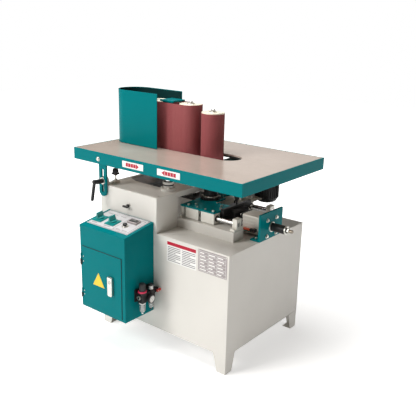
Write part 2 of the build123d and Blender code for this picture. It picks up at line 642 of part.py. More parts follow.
def air_unit_bowls():
    """Two clear bowls under the heads."""
    out = []
    for y, z0, r in ((FILTER_Y, 213, 13.5), (OILER_Y, 216, 12)):
        bowl = post(UNIT_X, y, r, z0, BOWL_Z)
        bowl = fillet(bowl.edges().group_by(Axis.Z)[0], 6)
        out.append(bowl - post(UNIT_X, y, r - 2.5, z0 + 5, BOWL_Z) + post(UNIT_X, y, 4, z0 - 8, z0))
    return out


def regulator_knob():
    """The regulator's knob with its locking collar."""
    knob = post(UNIT_X, FILTER_Y, 15, 319, 356)
    knob = fillet(knob.edges().group_by(Axis.Z)[-1], 4)
    return knob + post(UNIT_X, FILTER_Y, 19.5, 312.5, 319)


def valve_lever():
    """The stop valve's lever: along the pipe when open, upright when shut."""
    lever = block(LEVER_X, LEVER_X + 4, VALVE_Y - 6, LEVER_END, VALVE_Z - 6, VALVE_Z + 6)
    lever = fillet(lever.edges().filter_by(Axis.X), 5)
    return lever + bar_x(VALVE_Y, VALVE_Z, 6, LEVER_X, LEVER_X + 8)


PARTS = {
    "front_panel": front_panel, "body_panels": body_panels, "deck_panel": deck_panel,
    "head_top_panel": head_top_panel, "cabinet_feet": cabinet_feet,
    "rail_plinths": rail_plinths, "shaft_supports": shaft_supports, "rail_shafts": rail_shafts,
    "bearing_blocks": bearing_blocks, "carriage_plate": carriage_plate,
    "carriage_bolts": carriage_bolts, "cylinder_bracket": cylinder_bracket,
    "bracket_bolts": bracket_bolts, "cylinder_barrel": cylinder_barrel,
    "cylinder_rod": cylinder_rod, "tension_block": tension_block, "air_tube": air_tube,
    "drive_housing": drive_housing, "belt_motor": belt_motor, "drive_spindle": drive_spindle,
    "drive_drum": lambda: belt_drum(DRIVE_X, SPINDLE_R),
    "idler_drum": lambda: belt_drum(IDLER_X, SPINDLE_R + BORE_GAP),
    "idler_post": idler_post, "sanding_belt": sanding_belt, "platen": platen,
    "platen_bracket": platen_bracket, "guard_shell": guard_shell,
    "drum_housing": drum_housing, "spindle_bearings": spindle_bearings,
    "small_spindle": small_spindle, "small_drum": small_drum, "sanding_sleeve": sanding_sleeve,
    "drum_motor": drum_motor, "motor_pulley": motor_pulley, "motor_arm": motor_arm,
    "drive_belt": drive_belt, "table_top": table_top, "table_apron": table_apron,
    "clamp_link": clamp_link, "table_columns": table_columns,
    "column_flanges": column_flanges, "clamp_stud": clamp_stud, "clamp_lever": clamp_lever,
    "tracking_block": tracking_block, "tracking_knob": tracking_knob,
    "panel_lock_knob": panel_lock_knob, "box_shell": box_shell, "box_door": box_door,
    "door_hinges": door_hinges, "door_latch": door_latch, "control_panel": control_panel,
    "panel_fittings": panel_fittings,
    "switch_knob_left": lambda: switch_knob(*SWITCH_LEFT),
    "switch_knob_right": lambda: switch_knob(*SWITCH_RIGHT),
    "stop_button": stop_button, "contactor_bank": contactor_bank,
    "air_unit_body": air_unit_body, "air_unit_bowls": air_unit_bowls,
    "regulator_knob": regulator_knob, "valve_lever": valve_lever,
}


def write_parts():
    """Write one STEP file for each sub-part, moved to the row frame."""
    os.makedirs("parts", exist_ok=True)
    shift = Pos(-ORIGIN_X, -ORIGIN_Y, 0)
    for name, make in PARTS.items():
        made = make()
        solids = made if isinstance(made, list) else [made]
        moved = [shift * solid for solid in solids]
        shape = moved[0] if len(moved) == 1 else Compound(children=moved)
        export_step(shape, f"parts/{name}.step")


write_parts()
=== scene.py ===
import bmesh
import bpy
import json
import math
from mathutils import Matrix, Vector


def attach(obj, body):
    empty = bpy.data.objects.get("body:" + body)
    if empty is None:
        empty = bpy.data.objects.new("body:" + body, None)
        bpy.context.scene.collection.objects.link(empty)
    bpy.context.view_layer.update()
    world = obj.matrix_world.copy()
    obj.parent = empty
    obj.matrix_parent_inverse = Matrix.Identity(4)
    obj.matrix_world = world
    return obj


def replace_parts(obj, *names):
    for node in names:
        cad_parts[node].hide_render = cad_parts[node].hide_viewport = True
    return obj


# Drum and belt sander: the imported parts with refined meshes, small fittings and
# procedural materials. Positions in the code are the machine's own, in
# millimetres from the table's centre and the floor; at() gives the row frame.

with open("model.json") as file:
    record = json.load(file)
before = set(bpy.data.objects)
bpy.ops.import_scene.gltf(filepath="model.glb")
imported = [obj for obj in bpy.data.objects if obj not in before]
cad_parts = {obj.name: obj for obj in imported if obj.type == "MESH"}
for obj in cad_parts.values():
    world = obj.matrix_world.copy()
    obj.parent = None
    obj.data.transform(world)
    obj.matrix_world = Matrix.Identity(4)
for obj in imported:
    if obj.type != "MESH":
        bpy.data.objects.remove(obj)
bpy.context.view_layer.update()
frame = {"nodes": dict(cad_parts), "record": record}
MM = 0.001
ORIGIN_X, ORIGIN_Y = 25.5, -91.25


def at(x, y, z=0.0):
    """A machine point, in millimetres, as a point of the row frame, in metres."""
    return Vector(((x - ORIGIN_X) * MM, (y - ORIGIN_Y) * MM, z * MM))


def arc(x, y, r, start, end, steps, z):
    """Row-frame points along a level arc round x, y, from angle start to angle end."""
    turns = [start + (end - start) * k / steps for k in range(steps + 1)]
    return [at(x + r * math.cos(a), y + r * math.sin(a), z) for a in turns]


def bolt_circle(centre, r, count, first, z):
    """Machine points evenly round a centre, the first at an angle in degrees."""
    turns = [math.radians(first + 360 / count * k) for k in range(count)]
    return [(centre[0] + r * math.cos(a), centre[1] + r * math.sin(a), z) for a in turns]


# ---- places and sizes, in machine millimetres ------------------------------------
UP, RIGHT, LEFT, FRONT, REAR = (0, 0, 1), (1, 0, 0), (-1, 0, 0), (0, -1, 0), (0, 1, 0)
CAB, TAB, CAR = "cabinet", "table", "carriage"

# cabinet: its four faces, the head's right edge, and the head's and deck's tops
LEFT_X, RIGHT_X, FACE_Y, BACK_Y = -331, 440, -318, 283
HEAD_X, HEAD_Z, DECK_Z = 31, 726, 559
COLUMNS = ((-24, -178), (-24, 205), (-285, 215))
KNOB = (-296, -254)
WING_X, WING_Z = -146, 655

# table, its slot and the guard round the belt's closed end
TABLE_Z, RIM_Y = 882, -333.5
SLOT_X0, SLOT_X1, SLOT_Y = -262, 178, 9.5
GUARD_X, GUARD_END, GUARD_R, GUARD_Z = -400, -178, 92, 1147

# drums, their shafts, the tension unit and its air cylinder
DRIVE, IDLER, DRUM = (-250, 12), (-55, 12), (80, 12)
SHAFT_R, BELT_TOP, DRUM_TOP = 12, 1104, 1080
RAIL_Y, RAIL_Z, PLATE_Z = 135, 633, 666
MOTOR = (262, 222)
CYLINDER, CYL_X0, BRACKET_X = (-5, 611), 300, 441

# electrical box and what stands on its sloping top
BOX_X0, BOX_X1, BOX_Y, BOX_TOP, RISE = -277, 13, -500, 581, 30 / 182
LATCH_X = -71
FASCIA_CENTRE, BUTTON, METER = (-132, -396), (-68, -415), (-62, -366)
SWITCHES = {"left": (-230, -415), "right": (-148, -415)}

# air preparation unit
UNIT_X, FILTER_Y, OILER_Y, BOWL_Z = 42, -422, -366, 262
GAUGE = (72, -391, 276)

STRIP_SUNK = 0.3


# ---- materials -------------------------------------------------------------------
class Shader:
    """A small builder for procedural materials in object coordinates."""

    def __init__(self, name, rough=0.5, metallic=0.0, **sockets):
        self.mat = bpy.data.materials.new(name)
        self.mat.use_nodes = True
        self.tree = self.mat.node_tree
        self.bsdf = self.tree.nodes["Principled BSDF"]
        self.bsdf.inputs["Roughness"].default_value = rough
        self.bsdf.inputs["Metallic"].default_value = metallic
        for key, value in sockets.items():
            self.bsdf.inputs[key.replace("_", " ")].default_value = value
        self.coords = self.tree.nodes.new("ShaderNodeTexCoord").outputs["Object"]

    def node(self, kind, links=None, **values):
        """A node with its values set and its inputs linked."""
        made = self.tree.nodes.new(kind)
        for key, value in values.items():
            if hasattr(made, key):
                setattr(made, key, value)
            else:
                made.inputs[key.replace("_", " ")].default_value = value
        for key, source in (links or {}).items():
            self.tree.links.new(source, made.inputs[key])
        return made

    def moved(self, offset=(0, 0, 0), scale=(1, 1, 1)):
        """Object coordinates, moved and scaled."""
        made = self.node("ShaderNodeMapping", {"Vector": self.coords})
        made.inputs["Location"].default_value = offset
        made.inputs["Scale"].default_value = scale
        return made.outputs["Vector"]

    def noise(self, scale, detail=3.0, stretch=(1, 1, 1), roughness=0.55):
        """Noise, finer along an axis with more stretch."""
        vector = self.moved(scale=stretch)
        made = self.node("ShaderNodeTexNoise", {"Vector": vector}, Scale=scale, Detail=detail)
        made.inputs["Roughness"].default_value = roughness
        return made.outputs["Fac"]

    def ramp(self, source, stops):
        """A ramp of (place, grey or colour) stops."""
        made = self.node("ShaderNodeValToRGB", {"Fac": source})
        bar = made.color_ramp.elements
        while len(bar) < len(stops):
            bar.new(0.5)
        for element, (place, value) in zip(bar, stops):
            element.position = place
            colour = value if isinstance(value, (tuple, list)) else (value, value, value)
            element.color = (*colour, 1)
        return made.outputs["Color"]

    def mix(self, factor, a, b):
        """Two colours mixed; each argument is a value or a socket."""
        made = self.tree.nodes.new("ShaderNodeMix")
        made.data_type = "RGBA"
        for socket, value in ((made.inputs[0], factor), (made.inputs[6], a), (made.inputs[7], b)):
            if isinstance(value, bpy.types.NodeSocket):
                self.tree.links.new(value, socket)
            elif isinstance(value, (int, float)):
                socket.default_value = value
            else:
                socket.default_value = (*value, 1)
        return made.outputs[2]

    def colour(self, source):
        """Links the base colour."""
        self.tree.links.new(source, self.bsdf.inputs["Base Color"])

    def roughness(self, source, low, high):
        """Spreads a source between two roughness values."""
        made = self.node("ShaderNodeMapRange", {"Value": source})
        made.inputs["To Min"].default_value, made.inputs["To Max"].default_value = low, high
        self.tree.links.new(made.outputs["Result"], self.bsdf.inputs["Roughness"])

    def bump(self, heights, distance=0.0002):
        """Layers of (height, strength), one on the other."""
        last = None
        for height, strength in heights:
            made = self.node("ShaderNodeBump", {"Height": height}, Strength=strength)
            made.inputs["Distance"].default_value = distance
            if last is not None:
                self.tree.links.new(last, made.inputs["Normal"])
            last = made.outputs["Normal"]
        self.tree.links.new(last, self.bsdf.inputs["Normal"])


def shade(colour, k):
    """A colour made lighter or darker by a factor."""
    return tuple(min(1.0, c * k) for c in colour)


def painted(name, colour, rough=0.34, orange_peel=0.12, dust=(0.55, 0.50, 0.44), dusty=0.10, gloss=0.3):
    """Enamel on sheet metal: orange peel, faint blotches and settled dust."""
    s = Shader(name, rough, Specular_IOR_Level=gloss)
    blotch = s.ramp(s.noise(5.0, 4.0), [(0.3, shade(colour, 0.975)), (0.7, shade(colour, 1.02))])
    specks = s.ramp(s.noise(55.0, 6.0, roughness=0.7), [(0.56, 0.0), (0.80, dusty)])
    s.colour(s.mix(specks, blotch, dust))
    s.roughness(s.noise(18.0, 4.0), rough - 0.06, rough + 0.12)
    s.bump([(s.noise(420.0, 2.0), orange_peel), (s.noise(30.0, 2.0), 0.05)])
    return s.mat


def metal(name, colour, rough=0.3, stretch=(1, 1, 1), lines=0.2, tint=0.12, metallic=1.0):
    """Bare or plated metal with machining lines along one direction."""
    s = Shader(name, rough, metallic)
    lo, hi = shade(colour, 1 - tint), shade(colour, 1 + tint)
    fine = s.noise(900.0, 3.0, stretch)
    s.colour(s.mix(0.3, s.ramp(s.noise(14.0, 5.0), [(0.3, lo), (0.7, hi)]),
                   s.ramp(fine, [(0.3, lo), (0.7, hi)])))
    s.roughness(fine, rough - 0.08, rough + 0.14)
    s.bump([(fine, lines), (s.noise(60.0, 3.0), 0.06)], 0.0001)
    return s.mat


def plastic(name, colour, rough=0.45, grain=0.25):
    """Moulded plastic with a fine spark-eroded grain."""
    s = Shader(name, rough)
    s.colour(s.ramp(s.noise(24.0, 4.0), [(0.3, shade(colour, 0.85)), (0.7, shade(colour, 1.12))]))
    s.roughness(s.noise(90.0, 4.0), rough - 0.07, rough + 0.1)
    s.bump([(s.noise(1400.0, 2.0), grain)], 0.0001)
    return s.mat


def abrasive_cloth(name):
    """Aluminium-oxide grain on cloth, with fine streaks of loading."""
    s = Shader(name, 0.82)
    cells = s.node("ShaderNodeTexVoronoi", {"Vector": s.coords}, Scale=900.0)
    grain = s.ramp(cells.outputs["Distance"], [(0.1, (0.35, 0.082, 0.086)), (0.55, (0.215, 0.040, 0.045))])
    streaks = s.ramp(s.noise(30.0, 5.0, (1, 1, 0.08)), [(0.42, 0.0), (0.75, 0.24)])
    worn = s.mix(streaks, grain, (0.35, 0.12, 0.115))
    glints = s.ramp(s.noise(1900.0, 1.0), [(0.66, 0.0), (0.74, 0.5)])
    s.colour(s.mix(glints, worn, (0.56, 0.26, 0.25)))
    s.roughness(s.noise(400.0, 2.0), 0.66, 0.95)
    s.bump([(cells.outputs["Distance"], 0.55), (s.noise(700.0, 3.0), 0.35)], 0.0004)
    return s.mat


def turned(name, colour, centres):
    """Turned nylon: fine concentric tool marks round each centre."""
    rough, pitch = 0.42, 650.0
    s = Shader(name, rough, Coat_Weight=0.1)
    rings = None
    for x, y in centres:
        c = at(x, y)
        wave = s.node("ShaderNodeTexWave", {"Vector": s.moved((-c.x, -c.y, 0))}, wave_type="RINGS",
                      rings_direction="Z", Scale=pitch, Distortion=0.6, Detail=1.0)
        rings = wave.outputs["Fac"] if rings is None else s.mix(0.5, rings, wave.outputs["Color"])
    lo, hi = shade(colour, 0.9), shade(colour, 1.06)
    s.colour(s.mix(0.25, s.ramp(s.noise(22.0, 5.0), [(0.3, lo), (0.7, hi)]),
                   s.ramp(rings, [(0.2, lo), (0.8, hi)])))
    s.roughness(s.noise(60.0, 4.0), rough - 0.06, rough + 0.12)
    s.bump([(rings, 0.2), (s.noise(80.0, 3.0), 0.05)], 0.0002)
    return s.mat


def ground_table(name):
    """A ground, oiled plate: lengthwise grinding lines, soft stains and fine scratches."""
    s = Shader(name, 0.3, 0.35, Specular_IOR_Level=0.5)
    base = s.ramp(s.noise(3.2, 6.0), [(0.28, (0.50, 0.405, 0.34)), (0.72, (0.60, 0.505, 0.435))])
    lines = s.noise(520.0, 4.0, (0.04, 1, 1))
    lined = s.mix(0.22, base, s.ramp(lines, [(0.3, (0.42, 0.345, 0.29)), (0.7, (0.64, 0.56, 0.495))]))
    stains = s.ramp(s.noise(9.0, 7.0, roughness=0.65), [(0.58, 0.0), (0.8, 0.28)])
    s.colour(s.mix(stains, lined, (0.36, 0.27, 0.21)))
    scratch = s.ramp(s.noise(260.0, 2.0, (0.012, 1, 1)), [(0.68, 0.0), (0.75, 1.0)])
    s.roughness(s.noise(16.0, 6.0), 0.14, 0.30)
    s.bump([(lines, 0.10), (scratch, 0.08)], 0.0001)
    return s.mat


def cast(name, colour, rough=0.55):
    """A casting's rough, mottled skin."""
    s = Shader(name, rough, Coat_Weight=0.05)
    s.colour(s.ramp(s.noise(40.0, 5.0), [(0.3, shade(colour, 0.8)), (0.7, shade(colour, 1.25))]))
    s.roughness(s.noise(120.0, 4.0), rough - 0.1, rough + 0.12)
    s.bump([(s.noise(330.0, 4.0), 0.5)], 0.0004)
    return s.mat


def clear(name, colour):
    """Clear moulded plastic with a faint waviness."""
    rough = 0.08
    s = Shader(name, rough, Transmission_Weight=0.85, IOR=1.5)
    s.colour(s.ramp(s.noise(40.0, 3.0), [(0.3, shade(colour, 0.94)), (0.7, colour)]))
    s.roughness(s.noise(50.0, 3.0), rough, rough + 0.1)
    s.bump([(s.noise(70.0, 2.0), 0.05)], 0.0001)
    return s.mat


def printed(name, colour, rough=0.45):
    """A printed film: flat colour with a faint paper tooth."""
    s = Shader(name, rough)
    s.colour(s.ramp(s.noise(35.0, 4.0), [(0.3, shade(colour, 0.94)), (0.7, colour)]))
    s.roughness(s.noise(60.0, 3.0), rough - 0.05, rough + 0.1)
    s.bump([(s.noise(1500.0, 2.0), 0.08)], 0.00005)
    return s.mat


WHITE = painted("white_enamel", (0.67, 0.65, 0.61), 0.36, dusty=0.05)
TEAL = painted("teal_enamel", (0.0, 0.163, 0.177), 0.2, 0.05, (0.03, 0.22, 0.22), 0.03, 0.04)
# Painted shade: a darker copy of the teal enamel, for the guard's inner faces and its foot bead.
TEAL_PAINTED_SHADE = painted("teal_enamel_painted_shade", (0.001, 0.028, 0.029), 0.5, 0.10, (0.1, 0.12, 0.11), 0.05, 0.1)
STEEL = metal("bright_steel", (0.62, 0.61, 0.59), 0.24, (1, 1, 0.06))
SHAFT = metal("hardened_shaft", (0.70, 0.70, 0.70), 0.12, (0.05, 1, 1), 0.08)
ZINC = metal("zinc_plate", (0.66, 0.65, 0.60), 0.32, tint=0.18)
ALU = metal("anodised_aluminium", (0.80, 0.78, 0.72), 0.46, tint=0.06, lines=0.12, metallic=0.45)
BLACK = painted("black_enamel", (0.018, 0.018, 0.019), 0.36, 0.2, (0.3, 0.27, 0.24), 0.12)
BLACK_PLASTIC = plastic("black_plastic", (0.016, 0.016, 0.017), 0.42)
TEAL_PLASTIC = plastic("teal_plastic", (0.0, 0.24, 0.23), 0.3)
RED_PLASTIC = plastic("red_plastic", (0.55, 0.035, 0.02), 0.32)
ORANGE = plastic("polyurethane_tube", (0.72, 0.10, 0.03), 0.28, 0.05)
RUBBER = plastic("rubber", (0.022, 0.022, 0.022), 0.72, 0.5)
FASCIA = printed("fascia_film", (0.56, 0.55, 0.56), 0.4)
LABEL = printed("label_film", (0.82, 0.81, 0.79), 0.38)
LABEL_GREY = printed("plate_grey", (0.33, 0.29, 0.29), 0.4)
INK = printed("ink_grey", (0.13, 0.12, 0.13), 0.5)
INK_RED = printed("ink_red", (0.44, 0.0, 0.024), 0.5)
ROD = metal("oiled_rod", (0.30, 0.26, 0.21), 0.3)
PINK_RED = plastic("collar_red", (0.72, 0.03, 0.10), 0.4)
CAST = cast("grey_casting", (0.18, 0.18, 0.19))
KHAKI = cast("khaki_casting", (0.28, 0.26, 0.21), 0.5)
NYLON = turned("turned_nylon", (0.80, 0.745, 0.60), (DRIVE, IDLER, DRUM))
ABRASIVE = abrasive_cloth("abrasive_cloth")
TABLE = ground_table("ground_table")
BOWL = clear("clear_polycarbonate", (0.86, 0.90, 0.90))


# ---- mesh helpers ----------------------------------------------------------------
def piece(name, bm, body, material, bevel=0.0, segments=2, angle=32, smooth=True, swap=()):
    """Turns bm into a piece that rides on body; bevel is in millimetres."""
    bmesh.ops.recalc_face_normals(bm, faces=bm.faces)
    mesh = bpy.data.meshes.new(name)
    bm.to_mesh(mesh)
    bm.free()
    obj = bpy.data.objects.new(name, mesh)
    bpy.context.scene.collection.objects.link(obj)
    mesh.materials.append(material)
    if bevel:
        made = obj.modifiers.new("edges", "BEVEL")
        made.width, made.segments, made.limit_method = bevel * MM, segments, "ANGLE"
        made.angle_limit = math.radians(angle)
        made.harden_normals = True
    if smooth:
        mesh.polygons.foreach_set("use_smooth", [True] * len(mesh.polygons))
        mesh.set_sharp_from_angle(angle=math.radians(angle))
    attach(obj, body)
    if swap:
        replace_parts(obj, *swap)
    return obj


BODY_OF = {n: body for body, group in frame["record"]["behaviour"]["bodies"].items() for n in group}


def refine(node, material, bevel):
    """A copy of a CAD node's shape, cleaned and with its edges rounded, in its place."""
    bm = bmesh.new()
    bm.from_mesh(frame["nodes"][node].data)
    bmesh.ops.remove_doubles(bm, verts=bm.verts, dist=2e-6)
    bmesh.ops.dissolve_limit(bm, angle_limit=math.radians(0.6), verts=bm.verts, edges=bm.edges)
    return piece(node + "_finish", bm, BODY_OF[node], material, bevel, swap=(node,))


def paint_node(node, material):
    """A CAD node that stays, with a better material."""
    mesh = frame["nodes"][node].data
    mesh.materials.clear()
    mesh.materials.append(material)
    mesh.polygons.foreach_set("use_smooth", [True] * len(mesh.polygons))
    mesh.set_sharp_from_angle(angle=math.radians(30))


def add_box(bm, x0, x1, y0, y1, z0, z1, place=None):
    """An eight-cornered solid between two machine points, or in the frame place."""
    corners = [(x, y, z) for x in (x0, x1) for y in (y0, y1) for z in (z0, z1)]
    spots = [place @ (Vector(c) * MM) if place else at(*c) for c in corners]
    v = [bm.verts.new(p) for p in spots]
    for ring in ((0, 1, 3, 2), (4, 6, 7, 5), (0, 4, 5, 1), (2, 3, 7, 6), (0, 2, 6, 4), (1, 5, 7, 3)):
        bm.faces.new([v[i] for i in ring])


def axes_of(direction):
    """A frame whose third axis is the direction."""
    return Vector(direction).normalized().to_track_quat("Z", "Y").to_matrix()


def add_lathe(bm, origin, direction, profile, n=48, lobes=0, depth=0.0):
    """Revolves (radius, height[, "hex"]) points, in millimetres, round an axis; lobes wave the rim."""
    turn = axes_of(direction)
    rings = []
    for point in profile:
        r, t = point[0], point[1]
        flats = len(point) > 2 and point[2] == "hex"
        waved = len(point) > 2 and point[2] == "lobes"
        ring = []
        for k in range(n if r > 0 else 1):
            a = 2 * math.pi * k / n
            radius = r / math.cos((a % (math.pi / 3)) - math.pi / 6) if flats else r
            radius += depth * math.cos(lobes * a) if waved else 0
            local = Vector((radius * math.cos(a), radius * math.sin(a), t)) * MM
            ring.append(bm.verts.new(origin + turn @ local))
        rings.append(ring)
    for a, b in zip(rings, rings[1:]):
        for k in range(n):
            j = (k + 1) % n
            if len(a) == 1 and len(b) == 1:
                continue
            if len(a) == 1:
                bm.faces.new((a[0], b[k], b[j]))
            elif len(b) == 1:
                bm.faces.new((a[k], a[j], b[0]))
            else:
                bm.faces.new((a[k], a[j], b[j], b[k]))


def add_prism(bm, points, along):
    """Extrudes a flat polygon of row-frame points by a vector."""
    low = [bm.verts.new(p) for p in points]
    high = [bm.verts.new(p + along) for p in points]
    bm.faces.new(low)
    bm.faces.new(high)
    for k in range(len(points)):
        j = (k + 1) % len(points)
        bm.faces.new((low[k], low[j], high[j], high[k]))


def add_tube(bm, points, radius, n=16):
    """Sweeps a circle, radius in millimetres, along row-frame points."""
    rings = []
    for k, p in enumerate(points):
        a, b = points[max(0, k - 1)], points[min(len(points) - 1, k + 1)]
        turn = axes_of(b - a)
        ring = []
        for j in range(n):
            angle = 2 * math.pi * j / n
            spoke = Vector((math.cos(angle), math.sin(angle), 0)) * radius * MM
            ring.append(bm.verts.new(p + turn @ spoke))
        rings.append(ring)
    for a, b in zip(rings, rings[1:]):
        for j in range(n):
            i = (j + 1) % n
            bm.faces.new((a[j], a[i], b[i], b[j]))
    bm.faces.new(rings[0])
    bm.faces.new(rings[-1])


def socket_screw(bm, origin, direction, r=6.0, h=7.0):
    """A cylindrical head with a hexagon socket."""
    head = [(r * 0.95, 0), (r, h * 0.1), (r, h * 0.85), (r * 0.9, h), (r * 0.56, h),
            (r * 0.5, h * 0.95, "hex"), (r * 0.5, h * 0.4, "hex"), (0, h * 0.35)]
    add_lathe(bm, origin, direction, head, 36)


def hex_screw(bm, origin, direction, r=6.0, h=5.0, washer=0.0):
    """A hexagon head over an optional washer."""
    if washer:
        disc = [(0, 0), (washer, 0), (washer, 1.2), (washer * 0.95, 1.5), (0, 1.5)]
        add_lathe(bm, origin, direction, disc, 36)
        origin = origin + Vector(direction).normalized() * 1.5 * MM
    head = [(0, 0), (r * 0.93, 0), (r, 0.4, "hex"), (r, h * 0.82, "hex"), (r * 0.96, h), (0, h)]
    add_lathe(bm, origin, direction, head, 36)


def pan_screw(bm, origin, direction, r=4.0, h=2.6):
    """A domed head with its recess drawn as a shallow cup."""
    head = [(r, 0), (r * 0.96, h * 0.5), (r * 0.72, h * 0.85), (r * 0.4, h), (r * 0.3, h * 0.55),
            (0, h * 0.5)]
    add_lathe(bm, origin, direction, head, 24)


def screws(name, body, material, spots, direction, make=socket_screw, **sizes):
    """One piece holding a set of like screws."""
    bm = bmesh.new()
    for spot in spots:
        make(bm, at(*spot), direction, **sizes)
    return piece(name, bm, body, material, angle=28)


def turned_piece(name, body, material, turns, lobes=0, depth=0.0, **look):
    """One piece made of (origin, direction, profile, segments) turned shapes."""
    bm = bmesh.new()
    for origin, direction, profile, n in turns:
        spot = origin if isinstance(origin, Vector) else at(*origin)
        add_lathe(bm, spot, direction, profile, n, lobes, depth)
    return piece(name, bm, body, material, **look)


def boxed_piece(name, body, material, boxes, place=None, **look):
    """One piece made of boxes, each (x0, x1, y0, y1, z0, z1)."""
    bm = bmesh.new()
    for box in boxes:
        add_box(bm, *box, place)
    return piece(name, bm, body, material, **look)


def tube_piece(name, body, material, routes, radius, n):
    """One piece made of round bars along routes of row-frame points."""
    bm = bmesh.new()
    for route in routes:
        add_tube(bm, route, radius, n)
    return piece(name, bm, body, material)


def prism_piece(name, body, material, points, along, bevel=0.0, **look):
    """One piece made of a flat polygon extruded by a vector in millimetres."""
    bm = bmesh.new()
    add_prism(bm, points, Vector(along) * MM)
    return piece(name, bm, body, material, bevel, **look)


# ---- CAD pieces with rounded edges -----------------------------------------------
for node, material, bevel in (
    ("front_panel", WHITE, 1.2), ("body_panels", WHITE, 1.2), ("deck_panel", WHITE, 1.2),
    ("head_top_panel", WHITE, 1.0), ("cabinet_feet", WHITE, 1.0), ("rail_plinths", WHITE, 1.2),
    ("shaft_supports", ALU, 1.0), ("bearing_blocks", ALU, 1.5), ("carriage_plate", TEAL, 1.2),
    ("cylinder_bracket", TEAL, 1.4), ("tension_block", BLACK, 1.2),
    ("drive_housing", CAST, 1.0), ("platen_bracket", TEAL, 1.2), ("motor_arm", KHAKI, 1.4),
    ("table_top", TABLE, 0.8), ("table_apron", TEAL, 1.4), ("clamp_link", TEAL, 1.0),
    ("column_flanges", WHITE, 1.0), ("clamp_stud", ZINC, 1.0), ("guard_shell", TEAL, 0.7),
    ("tracking_block", ZINC, 0.6), ("box_shell", TEAL, 1.2), ("box_door", TEAL, 1.0),
    ("door_hinges", BLACK, 0.5), ("door_latch", ZINC, 0.9), ("control_panel", FASCIA, 0.3),
    ("contactor_bank", BLACK_PLASTIC, 1.2), ("air_unit_body", BLACK, 1.0),
    ("valve_lever", RED_PLASTIC, 0.8), ("small_spindle", STEEL, 0.6),
    ("drive_spindle", STEEL, 0.5), ("idler_post", STEEL, 0.6), ("drum_housing", BLACK, 1.2),
    ("clamp_lever", BLACK, 0.6),
):
    refine(node, material, bevel)

for node, material in (
    ("rail_shafts", SHAFT), ("cylinder_rod", ROD), ("table_columns", SHAFT), ("belt_motor", CAST),
    ("platen", STEEL), ("spindle_bearings", STEEL), ("motor_pulley", STEEL), ("drive_belt", RUBBER),
    ("drive_drum", NYLON), ("idler_drum", NYLON), ("small_drum", NYLON),
    ("sanding_belt", ABRASIVE), ("sanding_sleeve", ABRASIVE), ("air_tube", ORANGE),
    ("carriage_bolts", ZINC),
):
    paint_node(node, material)


def darken_guard():
    """The guard's inner faces get painted shade: a darker copy of the teal than on its outer ones."""
    guard = bpy.data.objects["guard_shell_finish"]
    guard.data.materials.append(TEAL_PAINTED_SHADE)
    round_end, lip = at(GUARD_X, 0), at(GUARD_END, 0)
    for face in guard.data.polygons:
        middle = (guard.matrix_world @ face.center) - Vector((0, round_end.y, 0))
        inward = Vector((min(0.0, middle.x - round_end.x), middle.y, 0))
        if middle.x < lip.x - 0.5 * MM and face.normal.to_2d().dot(inward.to_2d()) < -0.01:
            face.material_index = 1


darken_guard()


# ---- table: rim labels, rim bolt, guard hems -------------------------------------
def strip(bm, x0, x1, y, z0, z1, proud=0.5):
    """A thin rectangle standing on a front face at depth y."""
    add_box(bm, x0, x1, y - proud, y + STRIP_SUNK, z0, z1)


def front_marks(name, body, material, y, rects, proud=0.8, arrows=()):
    """Printed rectangles, and arrows (x, z, size, direction), on a front face."""
    bm = bmesh.new()
    for x0, x1, z0, z1 in rects:
        strip(bm, x0, x1, y, z0, z1, proud)
    for x, z, size, way in arrows:
        corners = ((x, z + size), (x, z - size), (x + way * size * 1.5, z))
        points = [at(u, y - proud, v) for u, v in corners]
        add_prism(bm, points, Vector((0, (proud + STRIP_SUNK) * MM, 0)))
    return piece(name, bm, body, material, smooth=False)


def film(name, body, material, x0, x1, y, z0, z1, proud, bevel):
    """A label's backing on a front face."""
    bm = bmesh.new()
    strip(bm, x0, x1, y, z0, z1, proud)
    return piece(name, bm, body, material, bevel)


BAR_STEP, BAR_HALF, BAR_FIRST, ARROW_AT = 16, 7, 29, 86
for name, x0, x1, way in (("left", -165, -35, 1), ("right", 49, 179, -1)):
    film(f"rim_label_{name}", TAB, LABEL, x0, x1, RIM_Y, 840, 869, 0.5, 0.15)
    start = x0 if way > 0 else x1
    middles = [start + way * (BAR_FIRST + BAR_STEP * k) for k in range(4)]
    blocks = [(m - BAR_HALF, m + BAR_HALF, 846, 863) for m in middles]
    arrow = (start + way * ARROW_AT, 854.5, 12, way)
    front_marks(f"rim_marks_{name}", TAB, INK_RED, RIM_Y, blocks, arrows=[arrow])

rim_bolt = [(11, -0.4), (11, 0.8), (9.6, 1.2), (9.2, 3.4), (7.2, 5.6), (4, 6.8), (0, 7.2)]
turned_piece("rim_bolt", TAB, ZINC, [((-328, RIM_Y, 850), FRONT, rim_bolt, 40)])

HEM_R, HEM_Y, HEM_X, HEM_TOP = 1.9, GUARD_R - 1.25, -290, GUARD_Z - 2
FOOT_R, FOOT_Z = 1.3, TABLE_Z + 0.8
hem = [at(x, HEM_Y, HEM_TOP) for x in (GUARD_END - 0.5, HEM_X)]
hem += arc(GUARD_X, 0, HEM_Y, math.pi / 2, 3 * math.pi / 2, 32, HEM_TOP)
hem += [at(x, -HEM_Y, HEM_TOP) for x in (HEM_X, GUARD_END - 0.5)]
tube_piece("guard_hem", TAB, TEAL, [hem], HEM_R, 10)
sides = [[at(GUARD_END - 1, side * HEM_Y, z) for z in (TABLE_Z + 2, HEM_TOP)] for side in (-1, 1)]
tube_piece("guard_side_hems", TAB, TEAL, sides, HEM_R, 10)
# The foot bead takes the painted-shade teal: painted shade where the guard meets the table.
bead = [at(GUARD_END, -GUARD_R, FOOT_Z)]
bead += arc(GUARD_X, 0, GUARD_R, -math.pi / 2, -3 * math.pi / 2, 24, FOOT_Z)
bead.append(at(GUARD_END, GUARD_R, FOOT_Z))
tube_piece("guard_foot_bead", TAB, TEAL_PAINTED_SHADE, [bead], FOOT_R, 8)


